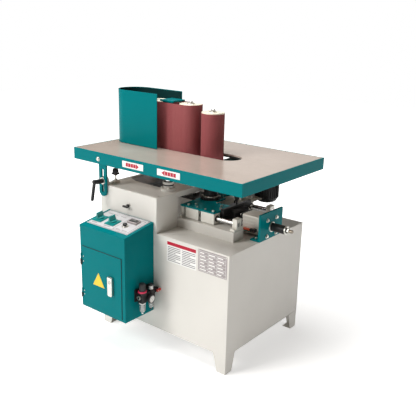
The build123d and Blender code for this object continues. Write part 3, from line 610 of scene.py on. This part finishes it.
# ---- drums and belt --------------------------------------------------------------
def drum_cap(name, centre, z, r, body, nut_r):
    """The turned end face: a rim, a shallow recess, a hub and its washer."""
    bore, hub = SHAFT_R + 1, nut_r + 9
    face = [(r - 0.6, -2), (r - 0.2, 0.2), (r - 1.4, 1.4), (r - 8, 1.6), (r - 9, 0.5),
            (hub, 0.45), (hub - 1, 1.5), (bore, 1.5), (bore, -2)]
    turned_piece(name, body, NYLON, [((*centre, z), UP, face, 96)], angle=24)
    hole, rim = SHAFT_R + 0.4, nut_r + 5
    washer = [(hole, 0), (rim, 0), (rim, 1.2), (rim - 0.5, 1.6), (hole, 1.6)]
    turned_piece(name + "_washer", body, ZINC, [((*centre, z + 1.5), UP, washer, 48)], angle=28)


drum_cap("drive_drum_cap", DRIVE, BELT_TOP, 55, "drive_unit", 14)
drum_cap("idler_drum_cap", IDLER, BELT_TOP, 55, "idler", 16)
drum_cap("small_drum_cap", DRUM, DRUM_TOP, 54, "sanding_drum", 15)
spindle_end = [(0, 0), (9, 0), (9, 5), (7.5, 6.5), (0, 6.5)]
turned_piece("drum_spindle_end", "sanding_drum", STEEL,
             [((*DRUM, DRUM_TOP + 8), UP, spindle_end, 36)], angle=28)
axle_end = [(0, 0), (9, 0), (9, 4.5), (7.5, 6), (0, 6)]
turned_piece("idler_axle_end", CAR, STEEL, [((*IDLER, BELT_TOP + 8), UP, axle_end, 36)],
             angle=28)

SPLICE_X, SPLICE_Y, SPLICE_RUN, SPLICE_W = -152, 12 - 55.3 - 1.6 - 0.25, 47, 9
splice = [at(SPLICE_X, SPLICE_Y, 825), at(SPLICE_X + SPLICE_W, SPLICE_Y, 825),
          at(SPLICE_X + SPLICE_RUN + SPLICE_W, SPLICE_Y, 1103),
          at(SPLICE_X + SPLICE_RUN, SPLICE_Y, 1103)]
prism_piece("belt_splice", CAB, ABRASIVE, splice, (0, 0.5, 0), smooth=False)
SEAM_R, SEAM_Z, SEAM_RISE, SEAM_STEPS = 54.6, 830, 242, 60
spiral = []
for k in range(SEAM_STEPS + 1):
    a = -2.2 + 2.6 * k / SEAM_STEPS
    spot = (DRUM[0] + SEAM_R * math.cos(a), DRUM[1] + SEAM_R * math.sin(a))
    spiral.append(at(*spot, SEAM_Z + SEAM_RISE * k / SEAM_STEPS))
tube_piece("sleeve_seam", "sanding_drum", ABRASIVE, [spiral], 0.8, 6)

# ---- cabinet labels --------------------------------------------------------------
film("notice_film", CAB, LABEL, 95, 265, FACE_Y, 447, 545, 0.4, 0.1)
front_marks("notice_header", CAB, INK_RED, FACE_Y, [(97, 263, 527, 543)], 0.6)
lines = []
for column, (x0, width) in enumerate(((101, 74), (184, 76))):
    for row in range(9):
        short = 0.62 if (row + column) % 4 == 3 else 1.0
        lines.append((x0, x0 + width * short, 517 - 8 * row, 520 - 8 * row))
front_marks("notice_lines", CAB, INK, FACE_Y, lines, 0.55)
film("rating_plate", CAB, LABEL_GREY, 276, 430, FACE_Y, 452, 553, 0.6, 0.2)
GRID_X, GRID_Z, COLUMN_STEP, ROW_STEP = 282, 456, 47, 15
grid = [(GRID_X, 424, GRID_Z + ROW_STEP * k, GRID_Z + 1 + ROW_STEP * k) for k in range(7)]
grid += [(GRID_X + COLUMN_STEP * k, GRID_X + 1 + COLUMN_STEP * k, GRID_Z, 546) for k in range(4)]
for column in range(3):
    for row in range(6):
        x0, z0 = GRID_X + 4 + COLUMN_STEP * column, GRID_Z + 5 + ROW_STEP * row
        grid.append((x0, x0 + 34 - 6 * ((row + column) % 3), z0, z0 + 5))
front_marks("rating_lines", CAB, LABEL, FACE_Y, grid, 0.8)
rivets = [(x, FACE_Y, z) for z in (549, 456) for x in (280, 426)]
screws("rating_rivets", CAB, ZINC, rivets, FRONT, pan_screw, r=2.4, h=1.6)

# ---- head and deck ---------------------------------------------------------------
front_edge = [at(x, FACE_Y + 0.8, HEAD_Z - 0.8) for x in (LEFT_X + 1, HEAD_X - 1)]
tube_piece("head_front_bead", CAB, WHITE, [front_edge], 1.8, 10)
lips = [(HEAD_X, RIGHT_X - 1, FACE_Y + 0.2, FACE_Y + 3.4, DECK_Z - 0.6, DECK_Z + 1.6),
        (RIGHT_X - 3.2, RIGHT_X, FACE_Y + 2, BACK_Y - 1, DECK_Z - 0.6, DECK_Z + 1.6)]
boxed_piece("deck_lips", CAB, WHITE, lips, bevel=0.8)
fold = (LEFT_X + 3, HEAD_X - 3, FACE_Y + 2.8, FACE_Y + 18, HEAD_Z - 1.8, HEAD_Z + 1)
boxed_piece("head_top_fold", CAB, WHITE, [fold], bevel=0.8, segments=3)
spots = [(x, y, HEAD_Z) for x, y in ((-318, -280), (-318, 250), (18, -290), (18, 260), (-150, 270))]
screws("head_screws", CAB, ZINC, spots, UP, pan_screw, r=5, h=2.6)

# ---- tension unit ----------------------------------------------------------------
for name, z, spread, sizes in (("foot", 616, 27, (4.6, 6)), ("cap", 658, 11, (3.6, 2.5))):
    spots = [(x, side * RAIL_Y + d, z) for side in (-1, 1) for x in (42, 342) for d in (-spread, spread)]
    screws(f"support_{name}_screws", CAB, ZINC, spots, UP, r=sizes[0], h=sizes[1])
seal = [(10.2, 0), (15, 0), (15, 1.2), (10.2, 1.2)]
seals = [((x, side * RAIL_Y, RAIL_Z), RIGHT, seal, 40) for side in (-1, 1) for x in (64.6, 141, 154.6, 231)]
turned_piece("block_seals", CAR, RUBBER, seals, bevel=0.2)
spots = [(x, y, PLATE_Z) for x, y in ((125, -146), (172, -146), (150, -30), (60, 40), (60, 90))]
screws("block_screws", CAR, ZINC, spots, UP, r=4.4, h=3.6)
spots = [(x, y, PLATE_Z + 10) for x, y in ((206, 122), (206, 148), (238, 132))]
screws("arm_screws", CAR, ZINC, spots, UP, r=4.6, h=4)
bm = bmesh.new()
for y in (-42, 32):
    for z in (648, 574):
        hex_screw(bm, at(BRACKET_X, y, z), RIGHT, 6.4, 5.5, 9.5)
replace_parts(piece("bracket_screws", bm, CAB, ZINC, angle=28), "bracket_bolts")
screws("bracket_foot_screws", CAB, ZINC, [(410, -80, DECK_Z + 7), (410, 66, DECK_Z + 7)], UP, r=6, h=7)
collar = [(19.6, 0), (24, 0), (24, 3.5), (23, 5), (19.6, 5)]
end_cap = [(19.6, 0), (20.4, 0.6), (20.4, 5.4), (19, 6.3), (9, 6.6), (8.6, 3), (8.6, 0)]
rings = [((BRACKET_X, *CYLINDER), RIGHT, collar, 64), ((515, *CYLINDER), RIGHT, end_cap, 64)]
turned_piece("cylinder_rings", CAB, ZINC, rings, angle=28)
gland = [(8.3, 0), (12, 0, "hex"), (12, 8, "hex"), (8.3, 8)]
turned_piece("gland_nut", CAB, ZINC, [((526.3, *CYLINDER), RIGHT, gland, 36)], bevel=0.4)
push_in = [(6.2, 0), (8.5, 0), (9.5, 1.5), (9.5, 6), (8, 7), (8, 8, "hex"), (8, 12, "hex"), (6.2, 12)]
grommet = [(6.7, 0), (11, 0), (11, 3), (9, 4.4), (6.7, 4.4)]
fittings = [((366, -62, 592), RIGHT, push_in, 36), ((300, -62, DECK_Z - 0.4), UP, grommet, 36)]
turned_piece("tube_fittings", CAB, BLACK_PLASTIC, fittings, angle=28)
cover_screw = [(5, 0), (5, 3.4), (4.4, 4), (2.6, 4), (2.5, 1.4, "hex"), (0, 1.2)]
corners = [(CYLINDER[0] + dy, CYLINDER[1] + dz) for dy in (-35, 35) for dz in (-35, 35)]
covers = [((CYL_X0, y, z), LEFT, cover_screw, 30) for y, z in corners]
turned_piece("cylinder_cover_screws", CAB, ZINC, covers, angle=28)

# ---- drum motor ------------------------------------------------------------------
casing = [(0, 0), (26, 0), (40, 3), (50, 10), (54.5, 22), (55, 30), (55, 96), (59.5, 98), (59.5, 104),
          (56, 106), (56, 124), (50, 131), (11.5, 131), (11.5, 118)]
FINS, FIN_R0, FIN_R1, FIN_T, FIN_Z0, FIN_Z1 = 30, 53.5, 59.6, 1.3, 670, 741.5
bm = bmesh.new()
add_lathe(bm, at(*MOTOR, 645), UP, casing, 72)
for k in range(FINS):
    turn = Matrix.Translation(at(*MOTOR)) @ Matrix.Rotation(2 * math.pi * k / FINS, 4, "Z")
    add_box(bm, FIN_R0, FIN_R1, -FIN_T, FIN_T, FIN_Z0, FIN_Z1, turn)
piece("drum_motor_finned", bm, CAR, BLACK, 0.5, swap=("drum_motor",))
boxed_piece("motor_terminal_box", CAR, BLACK, [(196, 210, 196, 248, 690, 736)], bevel=3, segments=3)


def cylinder_outline():
    """The extruded barrel's square outline: round corners and four grooves to a side."""
    half, groove, corner, lip = 43, 3.0, 7, 2.4
    side = [(-half + corner, -half)]
    for g in (-24, -8, 8, 24):
        side += [(g - lip, -half), (g - lip, groove - half), (g + lip, groove - half), (g + lip, -half)]
    side.append((half - corner, -half))
    for k in (1, 2, 3):
        t = -math.pi / 2 + k * math.pi / 8
        side.append((half - corner + corner * math.cos(t), -half + corner + corner * math.sin(t)))
    ring = []
    for quarter in range(4):
        c, s = math.cos(quarter * math.pi / 2), math.sin(quarter * math.pi / 2)
        ring += [(y * c - z * s, y * s + z * c) for y, z in side]
    return ring


outline = [at(CYL_X0 + 11, CYLINDER[0] + y, CYLINDER[1] + z) for y, z in cylinder_outline()]
prism_piece("cylinder_body", CAB, ALU, outline, (109, 0, 0), 0.4, angle=28, swap=("cylinder_barrel",))
covers = [(x0, x0 + 11.5, -48, 38, 568, 654) for x0 in (CYL_X0, 419.5)] + [(376, 392, -70, -47, 584, 600)]
boxed_piece("cylinder_covers", CAB, BLACK, covers, bevel=4, segments=4)
front_marks("cylinder_label", CAB, TEAL_PLASTIC, -47.6, [(322, 352, 576, 590)])
sleeve = [(19.9, 0), (19.9, 10), (19.3, 15), (19.3, 25), (18.7, 26), (18.7, 28), (19.3, 29), (19.3, 78),
          (18.7, 79), (18.7, 81), (19.3, 82), (19.3, 90), (13, 90), (13, 95), (8.2, 95), (8.2, 60)]
turned_piece("cylinder_sleeve", CAB, BLACK, [((431, *CYLINDER), RIGHT, sleeve, 64)], angle=25)

tongue = (-112.4, 34.6, -50.4, 74.4, PLATE_Z - 8.4, PLATE_Z + 0.5)
boxed_piece("carrier_tongue", CAR, BLACK, [tongue], bevel=0.5)
low_ring = [(34.1, 0), (38, 0), (38, 3), (36, 5), (34.1, 5)]
high_ring = [(34.1, 0), (37, 1), (37, 21), (34.1, 22)]
rings = [((*DRUM, 678), UP, low_ring, 64), ((*DRUM, 728), UP, high_ring, 64)]
turned_piece("housing_rings", CAR, ZINC, rings, angle=28)
screws("housing_screws", CAR, ZINC, bolt_circle(DRUM, 42, 6, 30, 678), UP, r=4.6, h=5)
cone = [(4, 0), (4, 12), (5, 16), (17, 44), (17, 50), (15, 53), (0, 54)]
turned_piece("bump_cone", CAR, RUBBER, [((241, 2, 672), UP, cone, 40)], angle=28)

# ---- columns, lever and knobs ----------------------------------------------------
band = [(23.2, 0), (25.5, 0.6), (25.5, 5.4), (23.2, 6)]
wiper = [(15.3, 0), (24, 0), (23, 2.4), (18, 4.2), (15.3, 4.4)]
rings = [((*c, z), UP, profile, 48) for c in COLUMNS for z, profile in ((750, band), (767.8, wiper))]
turned_piece("column_wipers", CAB, RUBBER, rings, angle=28)
spots = [spot for c in COLUMNS for spot in bolt_circle(c, 30, 4, 45, 737.6)]
screws("flange_bolts", CAB, ZINC, spots, UP, hex_screw, r=5.2, h=4.6, washer=7.5)

cap = [(10.6, -2), (11, 0), (10.4, 1.4), (6, 1.6), (5.6, 3.6), (3, 4), (2.8, 2, "hex"), (0, 1.8)]
turned_piece("lever_cap", "clamp_handle", ZINC, [((-307, -362, 747), FRONT, cap, 40)], angle=28)
grip = [(3.7, 0), (7, 0), (9, 2.4), (13, 5), (17.5, 6, "lobes"), (19, 8, "lobes"), (19, 10, "lobes"),
        (16.5, 12), (14.5, 14), (14.2, 26), (12.5, 31), (8, 34.2), (0, 35)]
turned_piece("tracking_knob_body", "tracking_wheel", BLACK_PLASTIC, [((*KNOB, 763), UP, grip, 72)],
             lobes=9, depth=1.4, angle=40, swap=("tracking_knob",))
nut = [(3.6, 0), (8, 0, "hex"), (8, 6, "hex"), (3.6, 6)]
turned_piece("tracking_locknut", CAB, ZINC, [((*KNOB, 738), UP, nut, 36)], bevel=0.4)
plate = [(13, -0.5), (13, 1), (12, 2), (9.4, 2.2), (9.4, -0.5)]
turned_piece("lock_escutcheon", CAB, ZINC, [((WING_X, FACE_Y, WING_Z), FRONT, plate, 48)], angle=28)
bm = bmesh.new()
stem = [(8.6, 0), (9.2, 1), (9.2, 4), (7, 7), (5, 9), (5, 14)]
add_lathe(bm, at(WING_X, FACE_Y - 2.5, WING_Z), FRONT, stem, 40)
add_box(bm, WING_X - 16, WING_X + 16, -342.5, -333, WING_Z - 4.5, WING_Z + 4.5)
piece("lock_wing", bm, "panel_lock", BLACK_PLASTIC, 2.4, 3, swap=("panel_lock_knob",))


def slot_skirt_and_shade():
    """A rubber edge round the slot's underside; its dark rubber also stands in for the shade inside the
    slot hole.
    """
    bm = bmesh.new()
    loops = []
    for r, z in ((66, 867.2), (66, 873.5), (64, 873.5), (64, 867.2)):
        right = arc(SLOT_X1, SLOT_Y, r, -math.pi / 2, math.pi / 2, 24, z)
        left = arc(SLOT_X0, SLOT_Y, r, math.pi / 2, 3 * math.pi / 2, 24, z)
        loops.append([bm.verts.new(p) for p in right + left])
    for a, b in zip(loops, loops[1:] + loops[:1]):
        for k in range(len(a)):
            j = (k + 1) % len(a)
            bm.faces.new((a[k], a[j], b[j], b[k]))
    piece("slot_skirt_and_shade", bm, TAB, RUBBER)


slot_skirt_and_shade()

COVER_Z, COVER_T, COVER_POST = 819.2, 1.8, (206, 157)
bm = bmesh.new()
corners = ((-8, 66), (150, 66), (222, 130), (222, 200), (150, 286), (-70, 286), (-70, 242), (22, 242),
           (22, 168), (-8, 168))
add_prism(bm, [at(x, y, COVER_Z) for x, y in corners], Vector((0, 0, COVER_T * MM)))
rise = COVER_Z - PLATE_Z - 10
add_lathe(bm, at(*COVER_POST, PLATE_Z + 10), UP, [(0, 0), (5, 0), (5, rise), (0, rise)], 24)
piece("belt_cover", bm, CAR, BLACK, 0.3)

# ---- electrical box --------------------------------------------------------------
SLOPE_TURN = math.atan(RISE)
SLOPE_UP = Matrix.Rotation(SLOPE_TURN, 3, "X") @ Vector(UP)


def slope(x, y):
    """The frame on the box's sloping top at plan position x, y."""
    spot = at(x, y, BOX_TOP + (y - BOX_Y) * RISE)
    return Matrix.Translation(spot) @ Matrix.Rotation(SLOPE_TURN, 4, "X")


def slope_marks(name, material, rects):
    """Printed rectangles on the fascia, from its centre."""
    boxes = [(*rect, 0.9, 1.45) for rect in rects]
    return boxed_piece(name, CAB, material, boxes, slope(*FASCIA_CENTRE), smooth=False)


marks = [(-129, 129, 70, 72), (-129, 129, -72, -70), (-129, -127, -72, 72), (127, 129, -72, 72)]
marks += [(26, 27.6, -62, 60), (116.4, 118, -62, 60), (26, 118, 58.4, 60), (26, 118, -62, -60.4)]
slope_marks("fascia_frame", INK, marks)
words = [(-112, 30, 46), (-74, 22, 46), (-30, 34, 46), (-116, 34, -58), (-36, 40, -58), (38, 26, -54),
         (76, 30, -54), (-118, 16, 13), (-92, 16, 13), (-36, 16, 13), (-10, 16, 13)]
slope_marks("fascia_words", INK, [(x, x + w, y, y + 2.6) for x, w, y in words])


def switch(name, x, y):
    """A square base, and a knob with a tapered finger grip and a pointer line."""
    place = slope(x, y)
    base = [(-28.5, 28.5, -28.5, 28.5, 1.0, 5.2), (-25, 25, -25, 25, 4.8, 7.2)]
    boxed_piece(f"switch_base_{name}", CAB, TEAL_PLASTIC, base, place, bevel=1.2, segments=3,
                swap=("panel_fittings",))
    bm = bmesh.new()
    disc = [(19.4, 7.4), (20, 8.6), (19.4, 13.6), (17.6, 15.2), (0, 15.4)]
    add_lathe(bm, place.translation, SLOPE_UP, disc, 64)
    rings = []
    for z, taper_x, taper_y in ((14, 1, 1), (37.2, 0.7, 0.88)):
        corners = [(u * taper_x, v * taper_y, z) for u, v in ((-6, -19), (6, -19), (6, 19), (-6, 19))]
        rings.append([bm.verts.new(place @ (Vector(c) * MM)) for c in corners])
    low, high = rings
    bm.faces.new(low)
    bm.faces.new(high)
    for k in range(4):
        j = (k + 1) % 4
        bm.faces.new((low[k], low[j], high[j], high[k]))
    body = f"switch_{name}"
    piece(f"switch_grip_{name}", bm, body, TEAL_PLASTIC, 1.4, 3, swap=(f"switch_knob_{name}",))
    boxed_piece(f"switch_pointer_{name}", body, LABEL, [(-1, 1, 2, 15.5, 37.1, 37.6)], place,
                smooth=False)


for name, spot in SWITCHES.items():
    switch(name, *spot)
button_spot = slope(*BUTTON).translation
collar = [(13, 1.0), (15, 1.2), (15, 5), (13.6, 7), (10.6, 7.2), (10.4, 2)]
turned_piece("button_collar", CAB, ZINC, [(button_spot, SLOPE_UP, collar, 48)], angle=28)
cap = [(0, -3), (4, -3), (4, 10), (9.8, 10), (9.9, 14), (9.4, 16.4), (7.5, 17.8), (4, 18.2), (0, 18.3)]
turned_piece("button_cap", "button", BLACK_PLASTIC, [(button_spot, SLOPE_UP, cap, 48)], angle=40,
             swap=("stop_button",))
METER_FRAME = slope(*METER)
boxed_piece("meter_case", CAB, LABEL_GREY, [(-29, 29, -17, 17, 1.0, 8.8)], METER_FRAME, bevel=1.4,
            segments=3)
boxed_piece("meter_window", CAB, BLACK_PLASTIC, [(-24, 24, -9, 13, 8.6, 9.2)], METER_FRAME, bevel=0.3)
ticks = []
for k in range(9):
    x = -18 + 4.5 * k
    ticks.append((x - 0.4, x + 0.4, 4, 10 if k % 4 == 0 else 8, 9.1, 9.4))
boxed_piece("meter_ticks", CAB, LABEL, ticks, METER_FRAME, smooth=False)

# Black rubber strips round the door: a seal, and a painted shadow line in the gap round the door.
edges = ((-264.4, -6.6, 480, 481.6), (-264.4, -6.6, 187.4, 189), (-264.6, -263, 187.4, 481.6),
         (-8, -6.4, 187.4, 481.6))
seal_and_gap_shadow = [(x0, x1, BOX_Y - 2.2, BOX_Y + 0.2, z0, z1) for x0, x1, z0, z1 in edges]
boxed_piece("door_seal_and_gap_shadow", CAB, RUBBER, seal_and_gap_shadow, bevel=0.3)
lip = (BOX_X0 - 1.2, BOX_X1 + 1.2, BOX_Y - 1.6, BOX_Y + 0.4, 566, 580.6)
boxed_piece("box_front_lip", CAB, TEAL, [lip], bevel=0.8, segments=3)
bm = bmesh.new()
for x in (BOX_X0 - 1.6, BOX_X1 - 0.4):
    section = [at(x, y, z) for y, z in ((-501, 566), (-319, 596), (-319, 610), (-501, 580))]
    add_prism(bm, section, Vector((2 * MM, 0, 0)))
piece("box_side_lips", bm, CAB, TEAL, 0.6)
lock = [(7, -2), (7, 0.4), (6, 1), (5.4, 0.4), (5.2, -0.6), (0, -0.8)]
turned_piece("latch_lock", "latch", BLACK_PLASTIC, [((LATCH_X, -516, 356), FRONT, lock, 36)], angle=28)
boxed_piece("latch_grip", "latch", STEEL, [(LATCH_X - 9, LATCH_X + 9, -516.5, -515.6, 296, 330)], bevel=0.4)
triangle = [at(x, -504.1, z) for x, z in ((-193, 309), (-117, 309), (-155, 375))]
prism_piece("door_patch", "door", printed("plain_yellow", (0.78, 0.56, 0.02)), triangle, (0, 0.9, 0), 0.2)
spots = [(-256, -503.4, z) for z in (406, 430, 240, 258)]
screws("hinge_screws", "door", ZINC, spots, FRONT, pan_screw, r=3, h=1.6)


# ---- air preparation unit --------------------------------------------------------
def bowl(name, y, z0, r, trim):
    """A clear bowl with its drain, its collar and the element inside."""
    top = BOWL_Z - z0
    glass = [(0, 0), (r - 7, 0.3), (r - 4, 2), (r - 1, 6), (r, 11), (r, top), (r - 2, top), (r - 2, 12),
             (r - 4.5, 6), (0, 4.6)]
    turned_piece(f"{name}_bowl", CAB, BOWL, [((UNIT_X, y, z0), UP, glass, 56)], angle=40,
                 swap=("air_unit_bowls",))
    drain = [(0, 0), (3.4, 0), (4, 2), (4, 8), (7, 8.6), (7, 10), (0, 10)]
    ring = [(r + 0.1, 0), (r + 1.6, 0), (r + 1.6, 5), (r + 0.1, 5)]
    parts = [((UNIT_X, y, z0 - 8), UP, drain, 32), ((UNIT_X, y, BOWL_Z - 5), UP, ring, 48)]
    turned_piece(f"{name}_fittings", CAB, trim, parts, angle=28)
    rise = BOWL_Z - 8 - z0 - 14
    element = [(0, 0), (6, 0), (7.6, 3), (7.6, 24), (5, 27), (2, 27), (2, rise), (0, rise)]
    turned_piece(f"{name}_element", CAB, LABEL, [((UNIT_X, y, z0 + 14), UP, element, 32)], angle=28)


bowl("filter", FILTER_Y, 213, 13.5, LABEL)
bowl("oiler", OILER_Y, 216, 12, BLACK_PLASTIC)
COLLAR = (UNIT_X, FILTER_Y, 312.5)
grip = [(0, 0), (18, 0), (18, 6.5), (15, 6.6), (15, 10, "lobes"), (14.8, 38, "lobes"), (13, 42.4),
        (9, 43.4), (0, 43.6)]
turned_piece("regulator_grip", "regulator", BLACK_PLASTIC, [(COLLAR, UP, grip, 72)], lobes=20, depth=0.5,
             angle=50, swap=("regulator_knob",))
ring = [(17.6, 0.4), (19.8, 0.2), (20.2, 1), (20.2, 5.8), (19.6, 6.8), (15.6, 7)]
turned_piece("regulator_ring", "regulator", PINK_RED, [(COLLAR, UP, ring, 56)], angle=28)
dome = [(10.5, 0), (10.5, 3), (9.6, 4), (9.6, 15), (8, 19), (9.4, 19.4), (9.4, 24), (8.4, 25.4), (0, 25.6)]
turned_piece("oiler_dome", CAB, LABEL, [((UNIT_X, OILER_Y, 310), UP, dome, 40)], angle=28)
cap = [(9.5, 0), (9.9, 0.4), (9.9, 5.6), (8.8, 6.8), (0, 7)]
turned_piece("oiler_cap", CAB, BLACK_PLASTIC, [((UNIT_X, OILER_Y, 329), UP, cap, 40)], angle=28)

bezel = [(18.8, -11), (19.6, -10), (19.6, 1), (18.4, 2.4), (16.8, 2.2), (16.6, 0.1)]
turned_piece("gauge_bezel", CAB, BLACK_PLASTIC, [(GAUGE, RIGHT, bezel, 64)], angle=28)
dial = [(16.7, 0.1), (16.7, 0.5), (0, 0.5)]
turned_piece("gauge_dial", CAB, LABEL, [(GAUGE, RIGHT, dial, 56)], angle=28)
to_right = Matrix(((0, 0, 1, 0), (1, 0, 0, 0), (0, 1, 0, 0), (0, 0, 0, 1)))
face = Matrix.Translation(at(GAUGE[0] + 0.5, *GAUGE[1:])) @ to_right
bm = bmesh.new()
for k in range(11):
    spoke = face @ Matrix.Rotation(math.radians(225 - 27 * k), 4, "Z")
    add_box(bm, 11, 14.6, -0.5, 0.5, -0.1, 0.3, spoke)
add_box(bm, -3, 12, -0.6, 0.6, 0.2, 0.6, face @ Matrix.Rotation(math.radians(118), 4, "Z"))
piece("gauge_marks", bm, CAB, INK, smooth=False)
nut = [(5, -4), (10, -4, "hex"), (10, 2, "hex"), (5, 2)]
plug = [(0, 0), (9, 0, "hex"), (9, 5, "hex"), (8.4, 8.4), (6, 8.4), (5, 6), (0, 6)]
fittings = [((UNIT_X, FACE_Y - 3, 298), REAR, nut, 36), ((UNIT_X - 4, FILTER_Y - 14, 288), FRONT, plug, 36)]
turned_piece("unit_fittings", CAB, ZINC, fittings, bevel=0.4)
nut = [(0, 0), (4.4, 0, "hex"), (4.4, 3.8, "hex"), (0, 4.2)]
turned_piece("lever_nut", "valve", ZINC, [((64.4, -345, 300), RIGHT, nut, 24)], bevel=0.3)

# ---- rear and sides --------------------------------------------------------------
bm = bmesh.new()
for row in range(6):
    z = 200 + 22 * row
    section = ((BACK_Y, z + 12), (BACK_Y + 4.5, z + 2), (BACK_Y + 4.5, z + 0.6), (BACK_Y, z + 0.6))
    add_prism(bm, [at(58, y, h) for y, h in section], Vector((244 * MM, 0, 0)))
piece("rear_louvres", bm, CAB, WHITE, 0.5)
spots = [(x, BACK_Y, z) for x in (-310, -60, 200, 420) for z in (110, 540)]
spots += [(x, BACK_Y, 700) for x in (-310, 10)]
screws("rear_screws", CAB, ZINC, spots, REAR, pan_screw, r=5, h=2.6)
spots = [(LEFT_X, y, z) for y in (-290, 255) for z in (110, 400, 700)]
screws("left_screws", CAB, ZINC, spots, LEFT, pan_screw, r=5, h=2.6)
spots = [(RIGHT_X, y, z) for y in (-296, 262) for z in (112, 330, 536)]
screws("right_screws", CAB, ZINC, spots, RIGHT, pan_screw, r=3.4, h=1.4)

# ---- camera, light and floor -----------------------------------------------------
CAMERA, LIT_SPOT = (1.7550, -2.10465, 1.4878), (0, 0.05, 0.6)
YAW, PITCH, ROLL = math.radians(37.852), math.radians(17.360), math.radians(1.569)
camera = bpy.data.objects.new("camera", bpy.data.cameras.new("camera"))
bpy.context.scene.collection.objects.link(camera)
camera.data.sensor_width, camera.data.lens = 36.0, 52.17
forward = Vector((-math.sin(YAW) * math.cos(PITCH), math.cos(YAW) * math.cos(PITCH), -math.sin(PITCH)))
level = Vector((math.cos(YAW), math.sin(YAW), 0))
above = level.cross(forward)
side = level * math.cos(ROLL) + above * math.sin(ROLL)
top = above * math.cos(ROLL) - level * math.sin(ROLL)
pose = Matrix((side, top, -forward)).transposed().to_4x4()
pose.translation = Vector(CAMERA)
camera.matrix_world = pose
bpy.context.scene.camera = camera


def area_light(name, spot, size, power, colour=(1, 1, 1)):
    """A round soft light in the row frame, turned to face LIT_SPOT."""
    data = bpy.data.lights.new(name, "AREA")
    data.shape, data.size, data.energy, data.color = "DISK", size, power, colour
    lamp = bpy.data.objects.new(name, data)
    bpy.context.scene.collection.objects.link(lamp)
    lamp.location = spot
    lamp.rotation_mode = "QUATERNION"
    lamp.rotation_quaternion = (Vector(LIT_SPOT) - Vector(spot)).to_track_quat("-Z", "Y")


area_light("key", (-2.4, -4.9, 3.7), 2.6, 246, (1.0, 0.985, 0.96))
area_light("overhead", (-0.6, -0.2, 3.6), 2.4, 112)
area_light("fill", (3.4, -0.6, 1.7), 2.4, 1.6, (1.0, 0.82, 0.66))
area_light("back", (-2.0, 3.6, 1.9), 3.0, 12)

world = bpy.data.worlds.new("studio")
bpy.context.scene.world = world
world.use_nodes = True
sky = world.node_tree
room = sky.nodes["Background"]
room.inputs["Color"].default_value = (1.0, 0.92, 0.83, 1)
room.inputs["Strength"].default_value = 0.12
backdrop = sky.nodes.new("ShaderNodeBackground")
backdrop.inputs["Color"].default_value = (1.0, 1.0, 1.0, 1)
backdrop.inputs["Strength"].default_value = 1.0
seen = sky.nodes.new("ShaderNodeLightPath")
blend = sky.nodes.new("ShaderNodeMixShader")
sky.links.new(seen.outputs["Is Camera Ray"], blend.inputs[0])
sky.links.new(room.outputs[0], blend.inputs[1])
sky.links.new(backdrop.outputs[0], blend.inputs[2])
sky.links.new(blend.outputs[0], sky.nodes["World Output"].inputs["Surface"])
bpy.context.scene.view_settings.view_transform = "Standard"

bm = bmesh.new()
bmesh.ops.create_grid(bm, x_segments=8, y_segments=8, size=9)
floor_mesh = bpy.data.meshes.new("floor")
bm.to_mesh(floor_mesh)
bm.free()
floor = bpy.data.objects.new("floor", floor_mesh)
bpy.context.scene.collection.objects.link(floor)
floor.location.z = -0.0005
floor_look = Shader("floor_pale", 0.7)
pale = [(0.3, (0.86, 0.86, 0.855)), (0.7, (0.88, 0.88, 0.875))]
floor_look.colour(floor_look.ramp(floor_look.noise(0.8, 3.0), pale))
floor_look.bsdf.inputs["Emission Color"].default_value = (1, 1, 1, 1)
reach = floor_look.node("ShaderNodeVectorMath", {"Vector": floor_look.coords}, operation="LENGTH")
glow = floor_look.node("ShaderNodeMapRange", {"Value": reach.outputs["Value"]})
for key, value in (("From Min", 1.0), ("From Max", 3.2), ("To Min", 0.52), ("To Max", 1.02)):
    glow.inputs[key].default_value = value
floor_look.tree.links.new(glow.outputs["Result"], floor_look.bsdf.inputs["Emission Strength"])
floor_mesh.materials.append(floor_look.mat)
